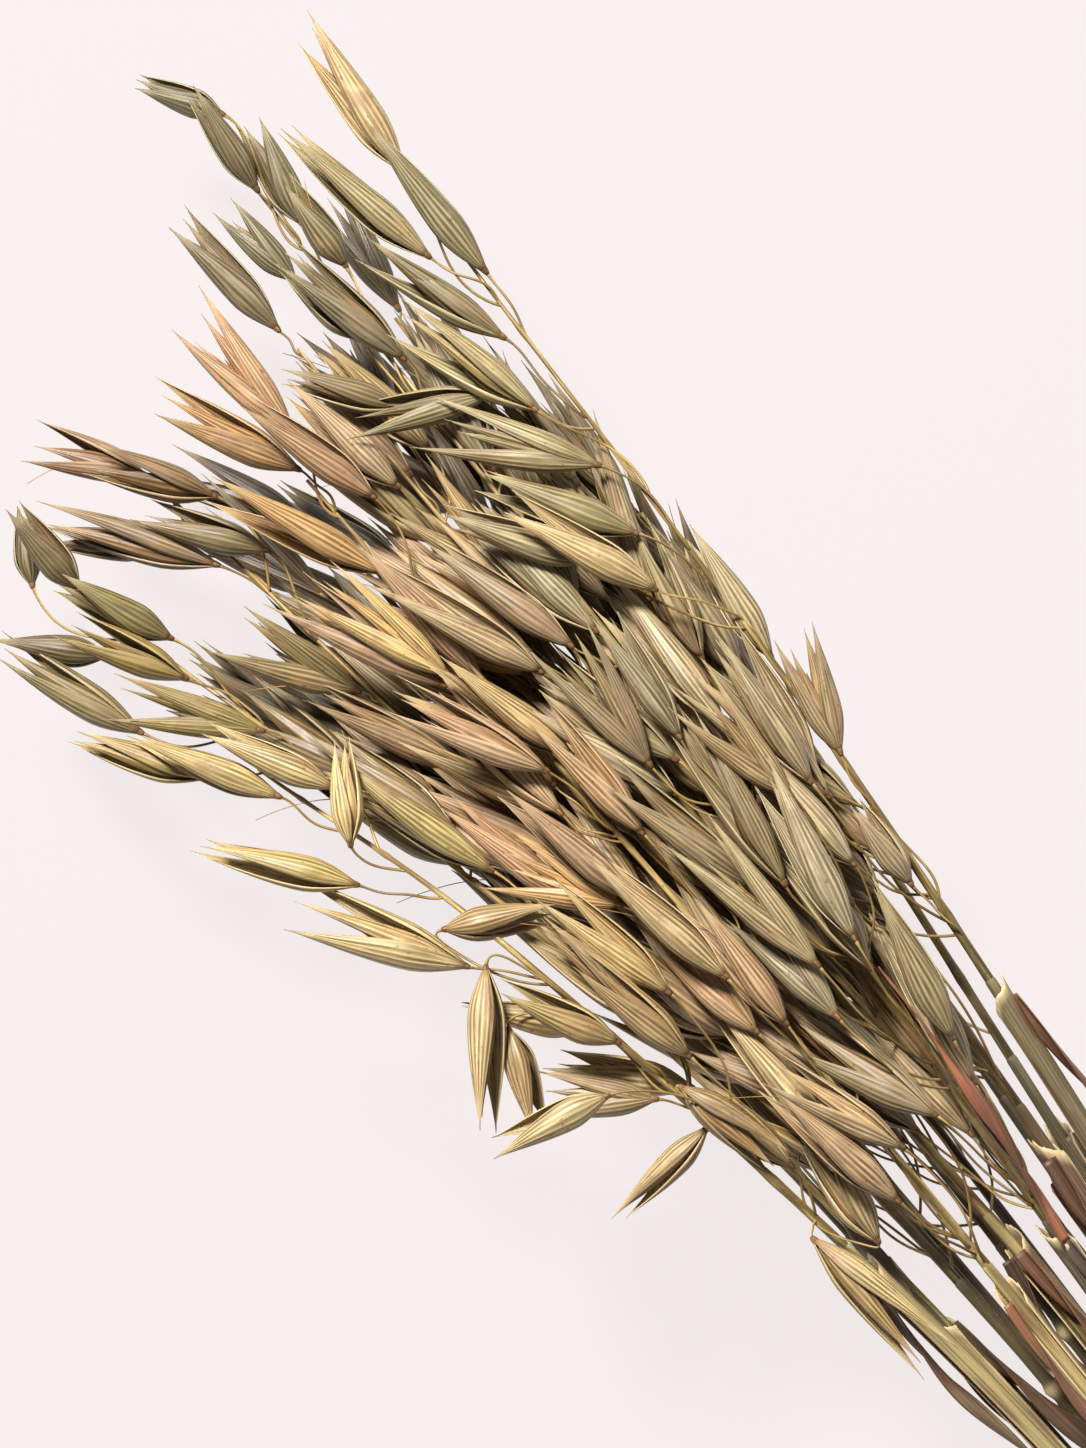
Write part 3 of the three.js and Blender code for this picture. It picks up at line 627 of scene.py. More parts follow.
# ---------------------------------------------------------------- spikelets
# The colours of each panicle's spikelets.
SPIKELET_TONES = [
    [(196, 170, 116), (160, 150, 106), (176, 164, 118), (140, 132, 90)],
    [(148, 142, 104), (132, 122, 86), (158, 150, 116), (138, 118, 82)],
    [(204, 162, 100), (202, 162, 122), (192, 154, 114), (200, 172, 110)],
    [(206, 184, 126), (192, 168, 110), (184, 164, 106), (174, 148, 100)],
    [(160, 148, 104), (174, 160, 112), (192, 164, 120), (148, 134, 90)],
    [(196, 168, 126), (200, 158, 120), (188, 162, 112), (202, 178, 134)],
    [(200, 174, 130), (188, 164, 116), (196, 154, 116), (176, 160, 112)],
    [(168, 138, 96), (162, 146, 102), (204, 162, 122), (182, 152, 112)],
    [(170, 154, 96), (158, 146, 96), (192, 168, 98), (146, 128, 86)],
    [(160, 150, 104), (176, 164, 116), (154, 138, 96)],
    [(152, 138, 98), (180, 156, 112), (168, 150, 106)],
    [(198, 170, 130), (190, 166, 120), (176, 146, 106)],
    [(182, 162, 118), (166, 150, 106), (146, 128, 86)],
    [(132, 120, 78), (150, 138, 94), (112, 102, 64)],
    [(174, 162, 116), (162, 150, 104), (146, 132, 90)],
    [(142, 128, 88), (156, 140, 96), (126, 114, 76)],
    [(132, 120, 80), (144, 128, 86), (114, 104, 66)],
    [(122, 112, 70), (144, 132, 88), (134, 118, 78)],
]
BEIGES = [(206, 186, 142), (188, 166, 128), (176, 158, 118), (166, 146, 110), (198, 172, 122)]
FAR_OLIVE = (154, 146, 108)
LUMINANCE = np.array([0.2126, 0.7152, 0.0722])
DUSTY = np.array([0.87, 0.82, 0.76])
NEAR_STEMS = ((75, -15), (-26, 0))  # where beige grows: beyond the head, and towards +Y
FAR_TIPS = ((65, 95), (-4, 4), (27, 23))  # where olive grows, and where it fades again
DEEP = (8, 36)  # heights between which the painted shade deep in the bunch fades out; DARKEST is how dark it gets
DARKEST = 0.2
HUSK_SHADE = np.array([0.95, 0.86, 0.74])  # against the glumes round it
KERNEL_SHADE = np.array([0.5, 0.4, 0.3])
PEDICEL_TONE = linear(190, 160, 92)
RACHIS_TONE = linear(190, 162, 96)
AWN_TONE = linear(214, 170, 92)
CALLUS_TONE = linear(150, 112, 70)
CALLUS_RADII = [0.3, 0.44, 0.52, 0.56, 0.5, 0.3]
GLUME_ROWS = 18
GLUME_WALL = 0.13
GLUME_BELLY = 0.32  # where a glume is widest, as a share of its length
GLUME_FOOT = 0.18  # how wide it starts, as a share of that
GLUME_POINT = 0.025  # and how wide it ends
GLUME_DEPTH = 0.86  # against its width
NERVE_HEIGHT = 0.075
CLOSED_SWELL = 1.27  # how much wider a glume is than its solid
GAPING_SWELL = 1.32
TIP_REACH = 1.1  # and how much longer
AWN_SHARE = 0.14
AWN_FLOOR = 0.3  # an awn is bent no lower


def glume(mesh, base, axis, face, length, half_width, tone, seed, wrap, bend, sweep, nerves):
    """One papery glume: a pointed boat with raised nerves, open on the side away from face."""
    side = np.cross(axis, face)
    columns = 2 * nerves + 1
    t = np.linspace(0, 1, GLUME_ROWS)
    across = np.linspace(-1, 1, columns)
    nerve = (np.arange(columns) % 2).astype(float)
    opened = np.sin(np.clip(t / GLUME_BELLY, 0, 1) * np.pi / 2) ** 1.05
    past = rise(t, GLUME_BELLY, 1)
    narrowed = (1 - past) ** 1.3 * (1 + past)
    width = half_width * np.maximum(mix(GLUME_FOOT, 1, opened) * narrowed, GLUME_POINT)
    turn = across * (np.radians(wrap) * (1 - 0.3 * t**2))[:, None]
    centre = (
        base
        + axis * (t * length)[:, None]
        + face * (bend * length * t**2)[:, None]
        + side * (sweep * length * t**2)[:, None]
    )
    relief = NERVE_HEIGHT * nerve * wave(t * 1.05)[:, None] ** 0.5
    shells = []
    for inset, raised in ((0, 1), (GLUME_WALL, 0.5)):
        out = np.maximum(width - inset, 0.5 * width)[:, None] + relief * raised
        shells.append(
            centre[:, None]
            + side * (out * np.sin(turn))[..., None]
            + face * (GLUME_DEPTH * out * np.cos(turn))[..., None]
        )
    both = mirrored(across)
    mesh.add(
        there_and_back(*shells),
        tone,
        (mirrored(nerve), np.abs(both), t[:, None]),
        (both * half_width, (t * length)[:, None], seed),
    )


def floret(mesh, base, axis, face, length, half_width, tone, seed):
    """The closed grain between two glumes."""
    t = np.linspace(0, 1, 12)
    radius = half_width * mix(0.15, 1, wave(t * 0.92 + 0.06) ** 0.9) * (1 - 0.75 * t**3)
    points = base + axis * (t * length)[:, None] + face * (0.06 * length * wave(t))[:, None]
    tube(mesh, points, radius, 10, tone, seed)


def awn(mesh, base, axis, face, length, draw, seed):
    """A hair-thin bristle from the back of a floret, bent over part of the way up."""
    t = np.linspace(0, 1, 18)
    bend = mix(0.1, 0.6, draw())
    curl = mix(-0.7, 0.7, draw())
    side = np.cross(axis, face)
    points = (
        base
        + axis * (0.35 * length + t * length)[:, None]
        + face * (length * (0.1 * t + bend * np.clip(t - 0.45, 0, 1) ** 1.5))[:, None]
        + side * (length * curl * t**2)[:, None]
    )
    points[:, 2] = np.maximum(points[:, 2], AWN_FLOOR)
    tube(mesh, points, mix(0.1, 0.05, t), 4, AWN_TONE, seed)


def pedicel(mesh, one, side, tone, phase, seed):
    """A spikelet's bent stalk, and the callus that joins the spikelet to it."""
    t = np.linspace(0, 1, 20)
    points = np.array([bezier(one.pedicel, share) for share in t])
    sway = 0.35 * np.sin(np.pi * t) * np.sin(2.2 * np.pi * t + phase)
    points += np.outer(sway, side)
    radius = mix(0.22, 0.17, t) + 0.2 * rise(t, 0.9, 1) ** 1.5
    tube(mesh, points, radius, 6, tone, seed)
    callus = one.base + one.axis * np.linspace(-0.6, 1.2, len(CALLUS_RADII))[:, None]
    tube(mesh, callus, CALLUS_RADII, 8, CALLUS_TONE, seed + 1)


def weathered_and_shaded(tone, one, number):
    """A spikelet's colour: beige near the stems, olive at the far tips, and painted shade that
    darkens it deep inside the bunch.
    """
    draw = random_stream(104729 + 31 * number, 3)
    x, y, z = one.base
    beyond = -HEAD - x
    near_stems = rise(beyond, *NEAR_STEMS[0]) * rise(y, *NEAR_STEMS[1])
    beige = linear(*pick(BEIGES, draw))
    tone = mix(tone, beige, near_stems * mix(0.25, 0.85, draw()))
    far_tips = rise(beyond, *FAR_TIPS[0]) * rise(y, *FAR_TIPS[1]) * rise(y, *FAR_TIPS[2])
    tone = mix(tone, linear(*FAR_OLIVE), far_tips * mix(0.5, 1.0, draw()))
    tone = mix(tone, tone @ LUMINANCE, mix(0.05, 0.22, draw()))
    # Painted shade: the lower a spikelet lies in the bunch, the darker it is made, down to DARKEST.
    return tone * DUSTY * mix(DARKEST, 1.0, rise(z, *DEEP) ** 1.4)


def spikelet_shape(mesh, one, number):
    """The two glumes of a spikelet, with its grain, its stalk and now and then an awn."""
    draw = random_stream(7919 * (number + 1), 3)
    side, up = cross_axes(one.axis)
    tone = linear(*pick(SPIKELET_TONES[one.owner], draw)) * mix(0.84, 1.16, draw())
    tone = weathered_and_shaded(tone, one, number)
    seed = 10.0 * number
    roll = mix(20, 80, draw()) * (1 if draw() < 0.5 else -1)
    opening = math.radians(mix(3, 9, draw()))
    sweep = mix(-0.05, 0.05, draw())
    swell = GAPING_SWELL if one.gape > 0 else CLOSED_SWELL
    width = one.half_width * swell * mix(0.94, 1.08, draw())
    if one.gape > 0:
        tilt = mix(25, 60, draw())
        outwards = turned(side, one.axis, tilt), turned(-side, one.axis, -tilt)
        parts = list(zip(one.halves, outwards))
    else:
        back = turned(side, one.axis, roll)
        parts = [(unit(one.axis + out * opening), out) for out in (back, -back)]
    for index, (direction, back) in enumerate(parts):
        glume(
            mesh, one.base, direction, square_to(back, direction),
            one.length * TIP_REACH * mix(0.9, 1.04, draw()),
            width * mix(0.95, 1.03, draw()) * (0.94 if index else 1),
            tone * mix(0.9, 1.1, draw()), seed + index,
            wrap=mix(82, 104, draw()), bend=mix(-0.02, 0.05, draw()),
            sweep=sweep + mix(-0.02, 0.02, draw()), nerves=9 if draw() < 0.5 else 8,
        )
    # Inside are the husks of its grains, pointed too and a little narrower, and the grain itself.
    back = square_to(parts[0][1], one.axis)
    inner = tone * HUSK_SHADE * mix(0.8, 1.05, draw())
    for index, share in enumerate((0.94, 0.84) if one.gape > 0 else (0.98,)):
        lean = math.radians(mix(-4, 4, draw()) + one.gape * (0.22 if index else -0.2))
        direction = unit(one.axis + side * lean + up * 0.03)
        face = square_to(turned(up, one.axis, mix(-70, 70, draw())), direction)
        glume(
            mesh, one.base + one.axis * 0.8, direction, face, one.length * share, width * 0.74,
            inner, seed + 2 + index, wrap=100, bend=0.02, sweep=mix(-0.04, 0.04, draw()), nerves=6,
        )
    kernel = one.base + one.axis, one.axis, back, one.length * 0.6, width * 0.5
    floret(mesh, *kernel, tone * KERNEL_SHADE, seed + 4)
    if draw() < AWN_SHARE:
        awn(mesh, one.base, one.axis, back, one.length * mix(0.6, 0.9, draw()), draw, seed + 5)
    stalk_tone = PEDICEL_TONE * mix(0.6, 1.1, draw())
    pedicel(mesh, one, side, stalk_tone, 6 * draw(), seed + 6)


def panicle(owner, material):
    mesh = Mesh()
    knots = np.linspace(panicle_start(owner) - 0.03, LAST_KNOT, 70)
    points = np.array([routes[owner].at(knot) for knot in knots])
    share = np.linspace(0, 1, len(knots))
    tone = mix(STEM_TONES[owner][0], RACHIS_TONE, np.sqrt(share)[:, None])
    nodes = np.exp(-((((share * 5) % 1) - 0.5) / 0.06) ** 2)
    tube(mesh, points, mix(0.78, 0.26, share**0.6) + 0.12 * nodes, 10, tone, 5000.0 + owner)
    for number, one in enumerate(spikelets):
        if one.owner == owner:
            spikelet_shape(mesh, one, number)
    return mesh.build(f"panicle_{owner + 1:02d}_dry", material)


# ---------------------------------------------------------------- stems, sheaths and tie
# Each stem's colour under its panicle and at its cut end. The colours of the lower rows are painted
# darker, as shade under the rows above.
STEM_COLOURS = [
    ((112, 102, 66), (88, 82, 54)),
    ((96, 84, 60), (78, 64, 50)),
    ((204, 180, 122), (168, 140, 104)),
    ((176, 158, 102), (150, 138, 84)),
    ((84, 62, 42), (70, 48, 34)),
    ((62, 42, 30), (52, 36, 26)),
    ((192, 168, 110), (158, 134, 88)),
    ((84, 82, 54), (70, 66, 44)),
    ((162, 146, 92), (118, 108, 68)),
    ((66, 62, 42), (56, 52, 36)),
    ((74, 50, 34), (60, 40, 28)),
    ((58, 52, 34), (48, 42, 30)),
    ((88, 78, 50), (64, 56, 38)),
    ((70, 62, 40), (56, 48, 32)),
    ((66, 60, 40), (52, 46, 32)),
    ((50, 36, 26), (44, 32, 24)),
    ((58, 50, 34), (46, 38, 28)),
    ((64, 56, 36), (50, 44, 30)),
]
SHEATH_COLOURS = {
    0: (118, 106, 76), 1: (86, 76, 70), 2: (196, 172, 124), 3: (178, 160, 108), 4: (96, 60, 42),
    6: (158, 128, 92), 8: (150, 132, 88), 9: (72, 66, 50), 14: (80, 70, 50), 17: (78, 68, 48),
}
# The blades still on their sheaths: colour, length, half width, the side of the stem in degrees,
# and 1 where it lies along its stem towards the panicle or -1 where it has fallen back.
BLADES = {
    0: [((124, 80, 58), 62.0, 1.5, 170.0, -1)],
    1: [((168, 104, 74), 50.0, 1.5, 95.0, 1), ((92, 80, 72), 48.0, 1.8, 110.0, -1)],
    2: [((146, 96, 68), 44.0, 1.5, 60.0, -1)],
    3: [((104, 84, 58), 46.0, 1.4, 40.0, -1)],
    4: [((84, 54, 38), 56.0, 2.2, 75.0, -1)],
    6: [((120, 78, 52), 52.0, 1.8, 100.0, -1), ((64, 44, 32), 44.0, 2.0, 20.0, -1)],
    8: [((84, 64, 48), 50.0, 2.2, 130.0, -1), ((96, 84, 62), 34.0, 1.6, 60.0, 1)],
    9: [((96, 84, 74), 60.0, 2.0, 150.0, -1)],
    14: [((70, 50, 36), 46.0, 2.2, 90.0, -1)],
    17: [((60, 48, 34), 50.0, 2.2, 80.0, -1)],
}
STRAW = linear(206, 182, 128)
DULLED = 0.85  # how dull the stems and sheaths are, against those colours
STEM_TONES = [[linear(*rgb) * DULLED for rgb in colours] for colours in STEM_COLOURS]
JOINT_FOOT = linear(84, 54, 34)
STEM_SIDES = 28
STEM_STEPS = 260
RIB_HEIGHT = 0.045
JOINT_SWELL = 0.55
JOINT_REACH = 1.1
COLLAR_REACH = 1.2
STEM_WALL = 0.35  # of the hollow stem, at its cut end
HOLLOW = 5.0  # how deep the cut end is open
STEM_END = 0.5  # radius of a stem's last ring, which is inside the rachis
BLADE_GRIP = 0.9  # how far each way the path of a blade goes, in knots
BLADE_WALL = 0.18
BLADE_FOLD = 0.55
SHEATH_SLIT = math.radians(70)
SHEATH_SKIN = 0.16
SHEATH_GAP = 0.14


class Sampled:
    """A stem's route as many points with level frames, and how far along it each of them is."""

    def __init__(self, owner, low, high, steps=400):
        self.knots = np.linspace(low, high, steps)
        self.points = np.array([routes[owner].at(knot) for knot in self.knots])
        self.along = directions(self.points)
        side = np.stack([-self.along[:, 1], self.along[:, 0], np.zeros(steps)], axis=1)
        self.side = side / np.linalg.norm(side, axis=1)[:, None]
        self.up = np.cross(self.along, self.side)
        self.lengths = arc_lengths(self.points)

    def at(self, values, knots):
        flat = np.ravel(knots)
        found = np.stack([np.interp(flat, self.knots, values[:, i]) for i in range(3)], axis=-1)
        return found.reshape(np.shape(knots) + (3,))

    def outwards(self, knots, angle):
        """Directions away from the stem, at angles round it."""
        across = self.at(self.side, knots) * np.cos(angle)[..., None]
        return across + self.at(self.up, knots) * np.sin(angle)[..., None]


def joint_knots(owner):
    upper = SHEATHS[owner][0] - 0.04 if owner in SHEATHS else 2.88 + 0.05 * (owner % 3)
    return 0.6 + 0.09 * (owner % 5), upper


def culm(owner, material):
    mesh = Mesh()
    end = panicle_start(owner) + 0.01
    path = Sampled(owner, 0, end, STEM_STEPS)
    share = path.knots / end
    radius = mix(CULM_RADIUS, RACHIS_RADIUS + 0.1, share**3)
    upper, lower = STEM_TONES[owner]
    tone = mix(lower, upper, np.clip(share * 1.4 - 0.3, 0, 1)[:, None])
    collar = 0
    for knot in joint_knots(owner):
        away = path.lengths - np.interp(knot, path.knots, path.lengths)
        radius = radius + JOINT_SWELL * np.exp(-((away / JOINT_REACH) ** 2))
        foot = np.exp(-(((away + 2.2) / 1.2) ** 2))[:, None]
        tone = mix(tone, JOINT_FOOT, 0.6 * foot)
        collar = collar + np.exp(-((away / COLLAR_REACH) ** 4))
    radius[-1] = STEM_END
    rib = (np.arange(STEM_SIDES) % 2).astype(float)
    # The cut end is hollow: the wall turns in at the rim and goes down to a pith, which is painted
    # dark as shade at the bottom of the hollow.
    pith = np.full((2, STEM_SIDES), CULM_RADIUS - STEM_WALL)
    foot, into = path.points[0], path.along[0]
    tones = np.concatenate([[STRAW * 0.35, STRAW * 0.9], tone])
    tones[2] = STRAW
    skin(
        mesh,
        np.concatenate([[foot + into * HOLLOW, foot], path.points]),
        np.concatenate([path.side[[0, 0]], path.side]),
        np.concatenate([path.up[[0, 0]], path.up]),
        np.concatenate([pith, radius[:, None] + RIB_HEIGHT * rib]),
        tones,
        np.concatenate([[HOLLOW, 0], path.lengths]),
        300.0 + 7 * owner,
        stripe=rib,
        pale=np.concatenate([[0, 0], collar]),
    )
    return mesh.build(f"stem_{owner + 1:02d}_dry", material)


def blade(mesh, owner, index):
    """The dried rest of a leaf's blade, narrow and twisted, lying along the stem."""
    rgb, length, widest, side_angle, way = BLADES[owner][index]
    high = SHEATHS[owner][1]
    path = Sampled(owner, high - BLADE_GRIP, high + BLADE_GRIP)
    rows, columns = 70, 9
    t = np.linspace(0, 1, rows)
    start = np.interp(high, path.knots, path.lengths)
    knots = np.interp(start + way * length * t, path.lengths, path.knots)
    lift = CULM_RADIUS + 0.5 + 3.2 * wave(t * 0.9) ** 1.2 + 0.8 * t
    around = math.radians(side_angle) + (0.5 + 0.4 * index) * t
    centre = path.at(path.points, knots) + path.outwards(knots, around) * lift[:, None]
    side, up = path_frames(centre)
    half = widest * mix(0.35, 1, wave(t * 1.1 + 0.12)) * (1 - 0.8 * t**3)
    twist = (0.6 + 5.5 * t**1.3)[:, None]
    across = np.linspace(-1, 1, columns)
    wide = across * half[:, None]
    shells = []
    for depth in (-BLADE_WALL / 2, BLADE_WALL / 2):
        deep = BLADE_FOLD * np.abs(across) ** 1.5 * half[:, None] + depth
        shells.append(
            centre[:, None]
            + side[:, None] * (wide * np.cos(twist) - deep * np.sin(twist))[..., None]
            + up[:, None] * (wide * np.sin(twist) + deep * np.cos(twist))[..., None]
        )
    mesh.add(
        there_and_back(*shells),
        linear(*rgb),
        ((np.arange(2 * columns) % 2) * 0.5, 0.0, t[:, None]),
        (mirrored(across) * widest, (t * length)[:, None], 950.0 + owner + 30 * index),
    )


def sheath(owner, material):
    """A papery sleeve round a stem, open down one side and torn where its blade broke off."""
    low, high = SHEATHS[owner]
    draw = random_stream(owner + 500)
    path = Sampled(owner, low - 0.1, high + 0.2)
    columns, rows = 33, 60
    turn = math.radians(90 + 37 * (((owner * 5) % 7) - 3))
    share = np.linspace(0, 1, columns)
    angle = turn + SHEATH_SLIT / 2 + share * (2 * np.pi - SHEATH_SLIT)
    torn = np.array([draw() for _ in range(columns)])
    torn = 0.6 * torn + 0.4 * np.roll(torn, 1)
    ragged = 0.02 * torn - 0.05 * np.abs(share - 0.5) * 2 + 0.03
    t = np.linspace(0, 1, rows)[:, None]
    knots = low + (high - low + ragged) * t
    nerve = (np.arange(columns) % 2).astype(float)
    flare = 0.25 * t**10 + 0.08 * t**2 * np.sin(5 * share + owner)
    inside = CULM_RADIUS + SHEATH_GAP + flare
    shells = [
        path.at(path.points, knots) + path.outwards(knots, angle) * out[..., None]
        for out in (inside + SHEATH_SKIN + RIB_HEIGHT * nerve, inside)
    ]
    both = mirrored(share)
    mesh = Mesh()
    mesh.add(
        there_and_back(*shells),
        linear(*SHEATH_COLOURS[owner]) * DULLED,
        (mirrored(nerve), rise(np.abs(both - 0.5), 0.42, 0.5) + rise(t, 0.94, 1), t),
        (both * 9, t * 60, 900.0 + owner),
    )
    for index in range(len(BLADES[owner])):
        blade(mesh, owner, index)
    return mesh.build(f"sheath_{owner + 1:02d}_dry", material)


TWINE_TURNS = 4.25
TWINE_STEPS = 900
TWINE_TONE = linear(176, 146, 100)
TWINE_LIFT = 0.95
PLY_RADIUS = 0.44
PLY_OUT = 0.38  # of each ply from the middle of the twine
PLY_PITCH = 4.6
FIRST_TURN = 0.2
TAIL_SHARE = 0.07  # of the twine, that crosses over the windings at its end
HEAD_SHARE = 0.04  # and at its start


def oval_point(share, grow):
    """A point of the oval round the bundle, as y and z from its middle, by its share of a turn."""
    half_width = 2 * LANE_PITCH + CULM_RADIUS + CLEARANCE + grow
    half_height = 1.5 * ROW_PITCH + CULM_RADIUS + CLEARANCE + TIE_SLACK + grow
    angle = 2 * math.pi * share
    power = 2 / 3.2
    across, above = math.cos(angle), math.sin(angle)
    return (
        half_width * math.copysign(abs(across) ** power, across),
        half_height * math.copysign(abs(above) ** power, above),
    )


def tie(material):
    """Twine wound round the stems, each winding two twisted plies, its ends crossing on top."""
    reach = TIE_WIDTH / 2 - 0.8
    centre = []
    for i in range(TWINE_STEPS):
        share = i / (TWINE_STEPS - 1)
        tail = max(share - (1 - TAIL_SHARE), 0) / TAIL_SHARE
        head = max(HEAD_SHARE - share, 0) / HEAD_SHARE
        along = mix(-reach, reach, share) - 5.0 * tail**1.5 + 2.5 * head**1.5
        lift = TWINE_LIFT + 1.5 * min(2 * tail, 1) + 0.9 * min(2 * head, 1)
        y, z = oval_point(FIRST_TURN + share * TWINE_TURNS, lift)
        centre.append((along, y, TIE_HEIGHT + z))
    centre = np.array(centre)
    side, up = path_frames(centre)
    turned_by = 2 * np.pi * arc_lengths(centre) / PLY_PITCH
    mesh = Mesh()
    for ply in range(2):
        phase = (turned_by + math.pi * ply)[:, None]
        path = centre + PLY_OUT * (side * np.cos(phase) + up * np.sin(phase))
        tube(mesh, path, PLY_RADIUS, 10, TWINE_TONE, 40.0 + ply)
    return mesh.build("tie_twine", material)


# ---------------------------------------------------------------- materials
def set_range(node, *limits):
    for key, value in zip(("From Min", "From Max", "To Min", "To Max"), limits):
        node.inputs[key].default_value = value


class Shader:
    """A material's nodes, added one at a time."""

    def __init__(self, name):
        self.material = bpy.data.materials.new(name)
        self.material.use_nodes = True
        self.tree = self.material.node_tree
        self.principled = self.tree.nodes["Principled BSDF"]

    def node(self, kind, inputs=(), **settings):
        made = self.tree.nodes.new(kind)
        for key, value in settings.items():
            setattr(made, key, value)
        for key, value in dict(inputs).items():
            self.put(made.inputs[key], value)
        return made

    def put(self, socket, value):
        if isinstance(value, bpy.types.NodeSocket):
            self.tree.links.new(value, socket)
        else:
            socket.default_value = value

    def ramp(self, value, low, high, to_low=0.0, to_high=1.0):
        made = self.node("ShaderNodeMapRange", {"Value": value}, interpolation_type="SMOOTHSTEP")
        set_range(made, low, high, to_low, to_high)
        return made.outputs[0]

    def mix(self, share, a, b, blend="MIX"):
        made = self.node("ShaderNodeMix", data_type="RGBA", blend_type=blend)
        for socket, value in ((made.inputs[0], share), (made.inputs[6], a), (made.inputs[7], b)):
            self.put(socket, value)
        return made.outputs[2]


class Dried(Shader):
    """A material of the bunch, with the tone, the marks and the grain that its pieces keep."""

    def __init__(self, name):
        super().__init__(name)
        self.tone = self.attribute("tone", "Color")
        self.grain = self.attribute("grain", "Vector")
        marks = {0: self.attribute("marks", "Vector")}
        self.nerve, self.margin, self.way = self.node("ShaderNodeSeparateXYZ", marks).outputs

    def attribute(self, name, output):
        return self.node("ShaderNodeAttribute", attribute_name=name).outputs[output]

    def sum(self, a, b):
        return self.node("ShaderNodeMath", {0: a, 1: b}, operation="ADD").outputs[0]

    def product(self, a, b):
        return self.node("ShaderNodeMath", {0: a, 1: b}, operation="MULTIPLY").outputs[0]

    def tinted(self, colour, tint):
        return self.mix(1.0, colour, tint, "MULTIPLY")

    def layers(self, colour, layers):
        """A colour with others over it, each as far as its value has got from low to high."""
        for value, low, high, most, over in layers:
            colour = self.mix(self.ramp(value, low, high, 0.0, most), colour, over)
        return colour

    def fibres(self, colour, fibre, darkest, lightest):
        """A colour with fine lines of shade."""
        shades = {i: self.ramp(fibre, 0.3, 0.7, darkest, lightest) for i in range(3)}
        return self.tinted(colour, self.node("ShaderNodeCombineColor", shades).outputs[0])

    def noise(self, across, along, detail=2.0, rough=0.55):
        """Noise on the piece's own surface, with features of the given size in millimetres."""
        inputs = {0: self.grain, 1: (1 / across, 1 / along, 1.0)}
        place = self.node("ShaderNodeVectorMath", inputs, operation="MULTIPLY").outputs[0]
        inputs = {"Vector": place, "Scale": 1.0, "Detail": detail, "Roughness": rough}
        return self.node("ShaderNodeTexNoise", inputs).outputs["Fac"]

    def finish(self, colour, roughness, height, depth, specular):
        bump = self.node("ShaderNodeBump", {"Height": height, "Distance": depth, "Strength": 1.0})
        self.put(self.principled.inputs["Base Color"], colour)
        self.put(self.principled.inputs["Roughness"], roughness)
        self.put(self.principled.inputs["Normal"], bump.outputs["Normal"])
        self.principled.inputs["Specular IOR Level"].default_value = specular
        return self.material


def rgba(*colour):
    return (*colour, 1.0)


def paint(*rgb):
    """A colour of 0 to 255 in each channel, for a socket."""
    return rgba(*linear(*rgb))


def glume_material():
    s = Dried("dry_glume")
    fibre = s.noise(0.16, 5.0)
    cloud = s.noise(2.4, 8.0, detail=3.0)
    blush = s.noise(5.0, 14.0)
    line = s.noise(0.9, 16.0, detail=1.0)
    fleck = s.noise(0.5, 1.1, detail=1.0)
    bruise = s.noise(3.2, 7.5)
    streak = s.noise(0.55, 14.0)
    furrow = s.tinted(s.tone, rgba(0.36, 0.31, 0.25))
    pale = s.mix(0.5, s.tone, s.tinted(s.tone, rgba(2.3, 2.3, 2.3)))
    edge = s.mix(0.55, pale, paint(222, 202, 158))
    # The nerves are made paler and the furrows between them darker: partly the glume's own
    # striping, partly painted highlight on the ridges and painted shade in the furrows.
    colour = s.layers(s.tone, [(s.nerve, 0.5, 1.0, 0.8, pale)])
    depth = s.product(s.ramp(s.nerve, 0.8, 0.1), s.ramp(line, 0.32, 0.6, 0.3, 1.0))
    colour = s.mix(depth, colour, furrow)
    colour = s.layers(
        colour,
        [
            (streak, 0.52, 0.7, 0.75, pale),
            (streak, 0.47, 0.3, 0.6, furrow),
            (cloud, 0.5, 0.75, 0.45, pale),
            (cloud, 0.45, 0.25, 0.45, paint(108, 98, 56)),
            (blush, 0.52, 0.72, 0.35, paint(160, 110, 80)),
            (s.margin, 0.4, 0.85, 0.4, furrow),
        ],
    )
    colour = s.fibres(colour, fibre, 0.78, 1.12)
    colour = s.layers(
        colour,
        [
            (fleck, 0.66, 0.74, 0.55, paint(92, 66, 40)),
            (bruise, 0.54, 0.72, 0.45, paint(118, 88, 72)),
            (s.margin, 0.88, 1.0, 0.6, edge),
            (s.way, 0.1, 0.0, 0.6, paint(150, 112, 68)),
            (s.way, 0.72, 1.0, 0.7, edge),
        ],
    )
    height = s.sum(s.product(fibre, 0.6), s.product(s.nerve, 0.5))
    return s.finish(colour, s.ramp(cloud, 0.3, 0.7, 0.38, 0.55), height, 0.00008, 0.5)


def stem_material(name, blotch):
    s = Dried(name)
    fibre = s.noise(0.22, 14.0)
    cloud = s.noise(1.8, 16.0, detail=3.0)
    patch = s.noise(3.0, 26.0)
    streak = s.noise(0.8, 46.0)
    colour = s.layers(
        s.tone,
        [
            (s.nerve, 0.0, 1.0, 0.5, s.mix(0.28, s.tone, paint(214, 194, 142))),
            (cloud, 0.5, 0.72, 0.5, s.mix(0.4, s.tone, rgba(*STRAW))),
            (patch, 0.5, 0.66, 0.7, blotch),
            (streak, 0.52, 0.62, 0.55, paint(104, 80, 74)),
        ],
    )
    colour = s.fibres(colour, fibre, 0.72, 1.15)
    colour = s.layers(colour, [(s.margin, 0.1, 0.9, 0.8, paint(218, 194, 148))])
    height = s.sum(s.product(fibre, 0.7), s.product(s.nerve, 0.3))
    return s.finish(colour, s.ramp(cloud, 0.3, 0.7, 0.4, 0.58), height, 0.0001, 0.5)


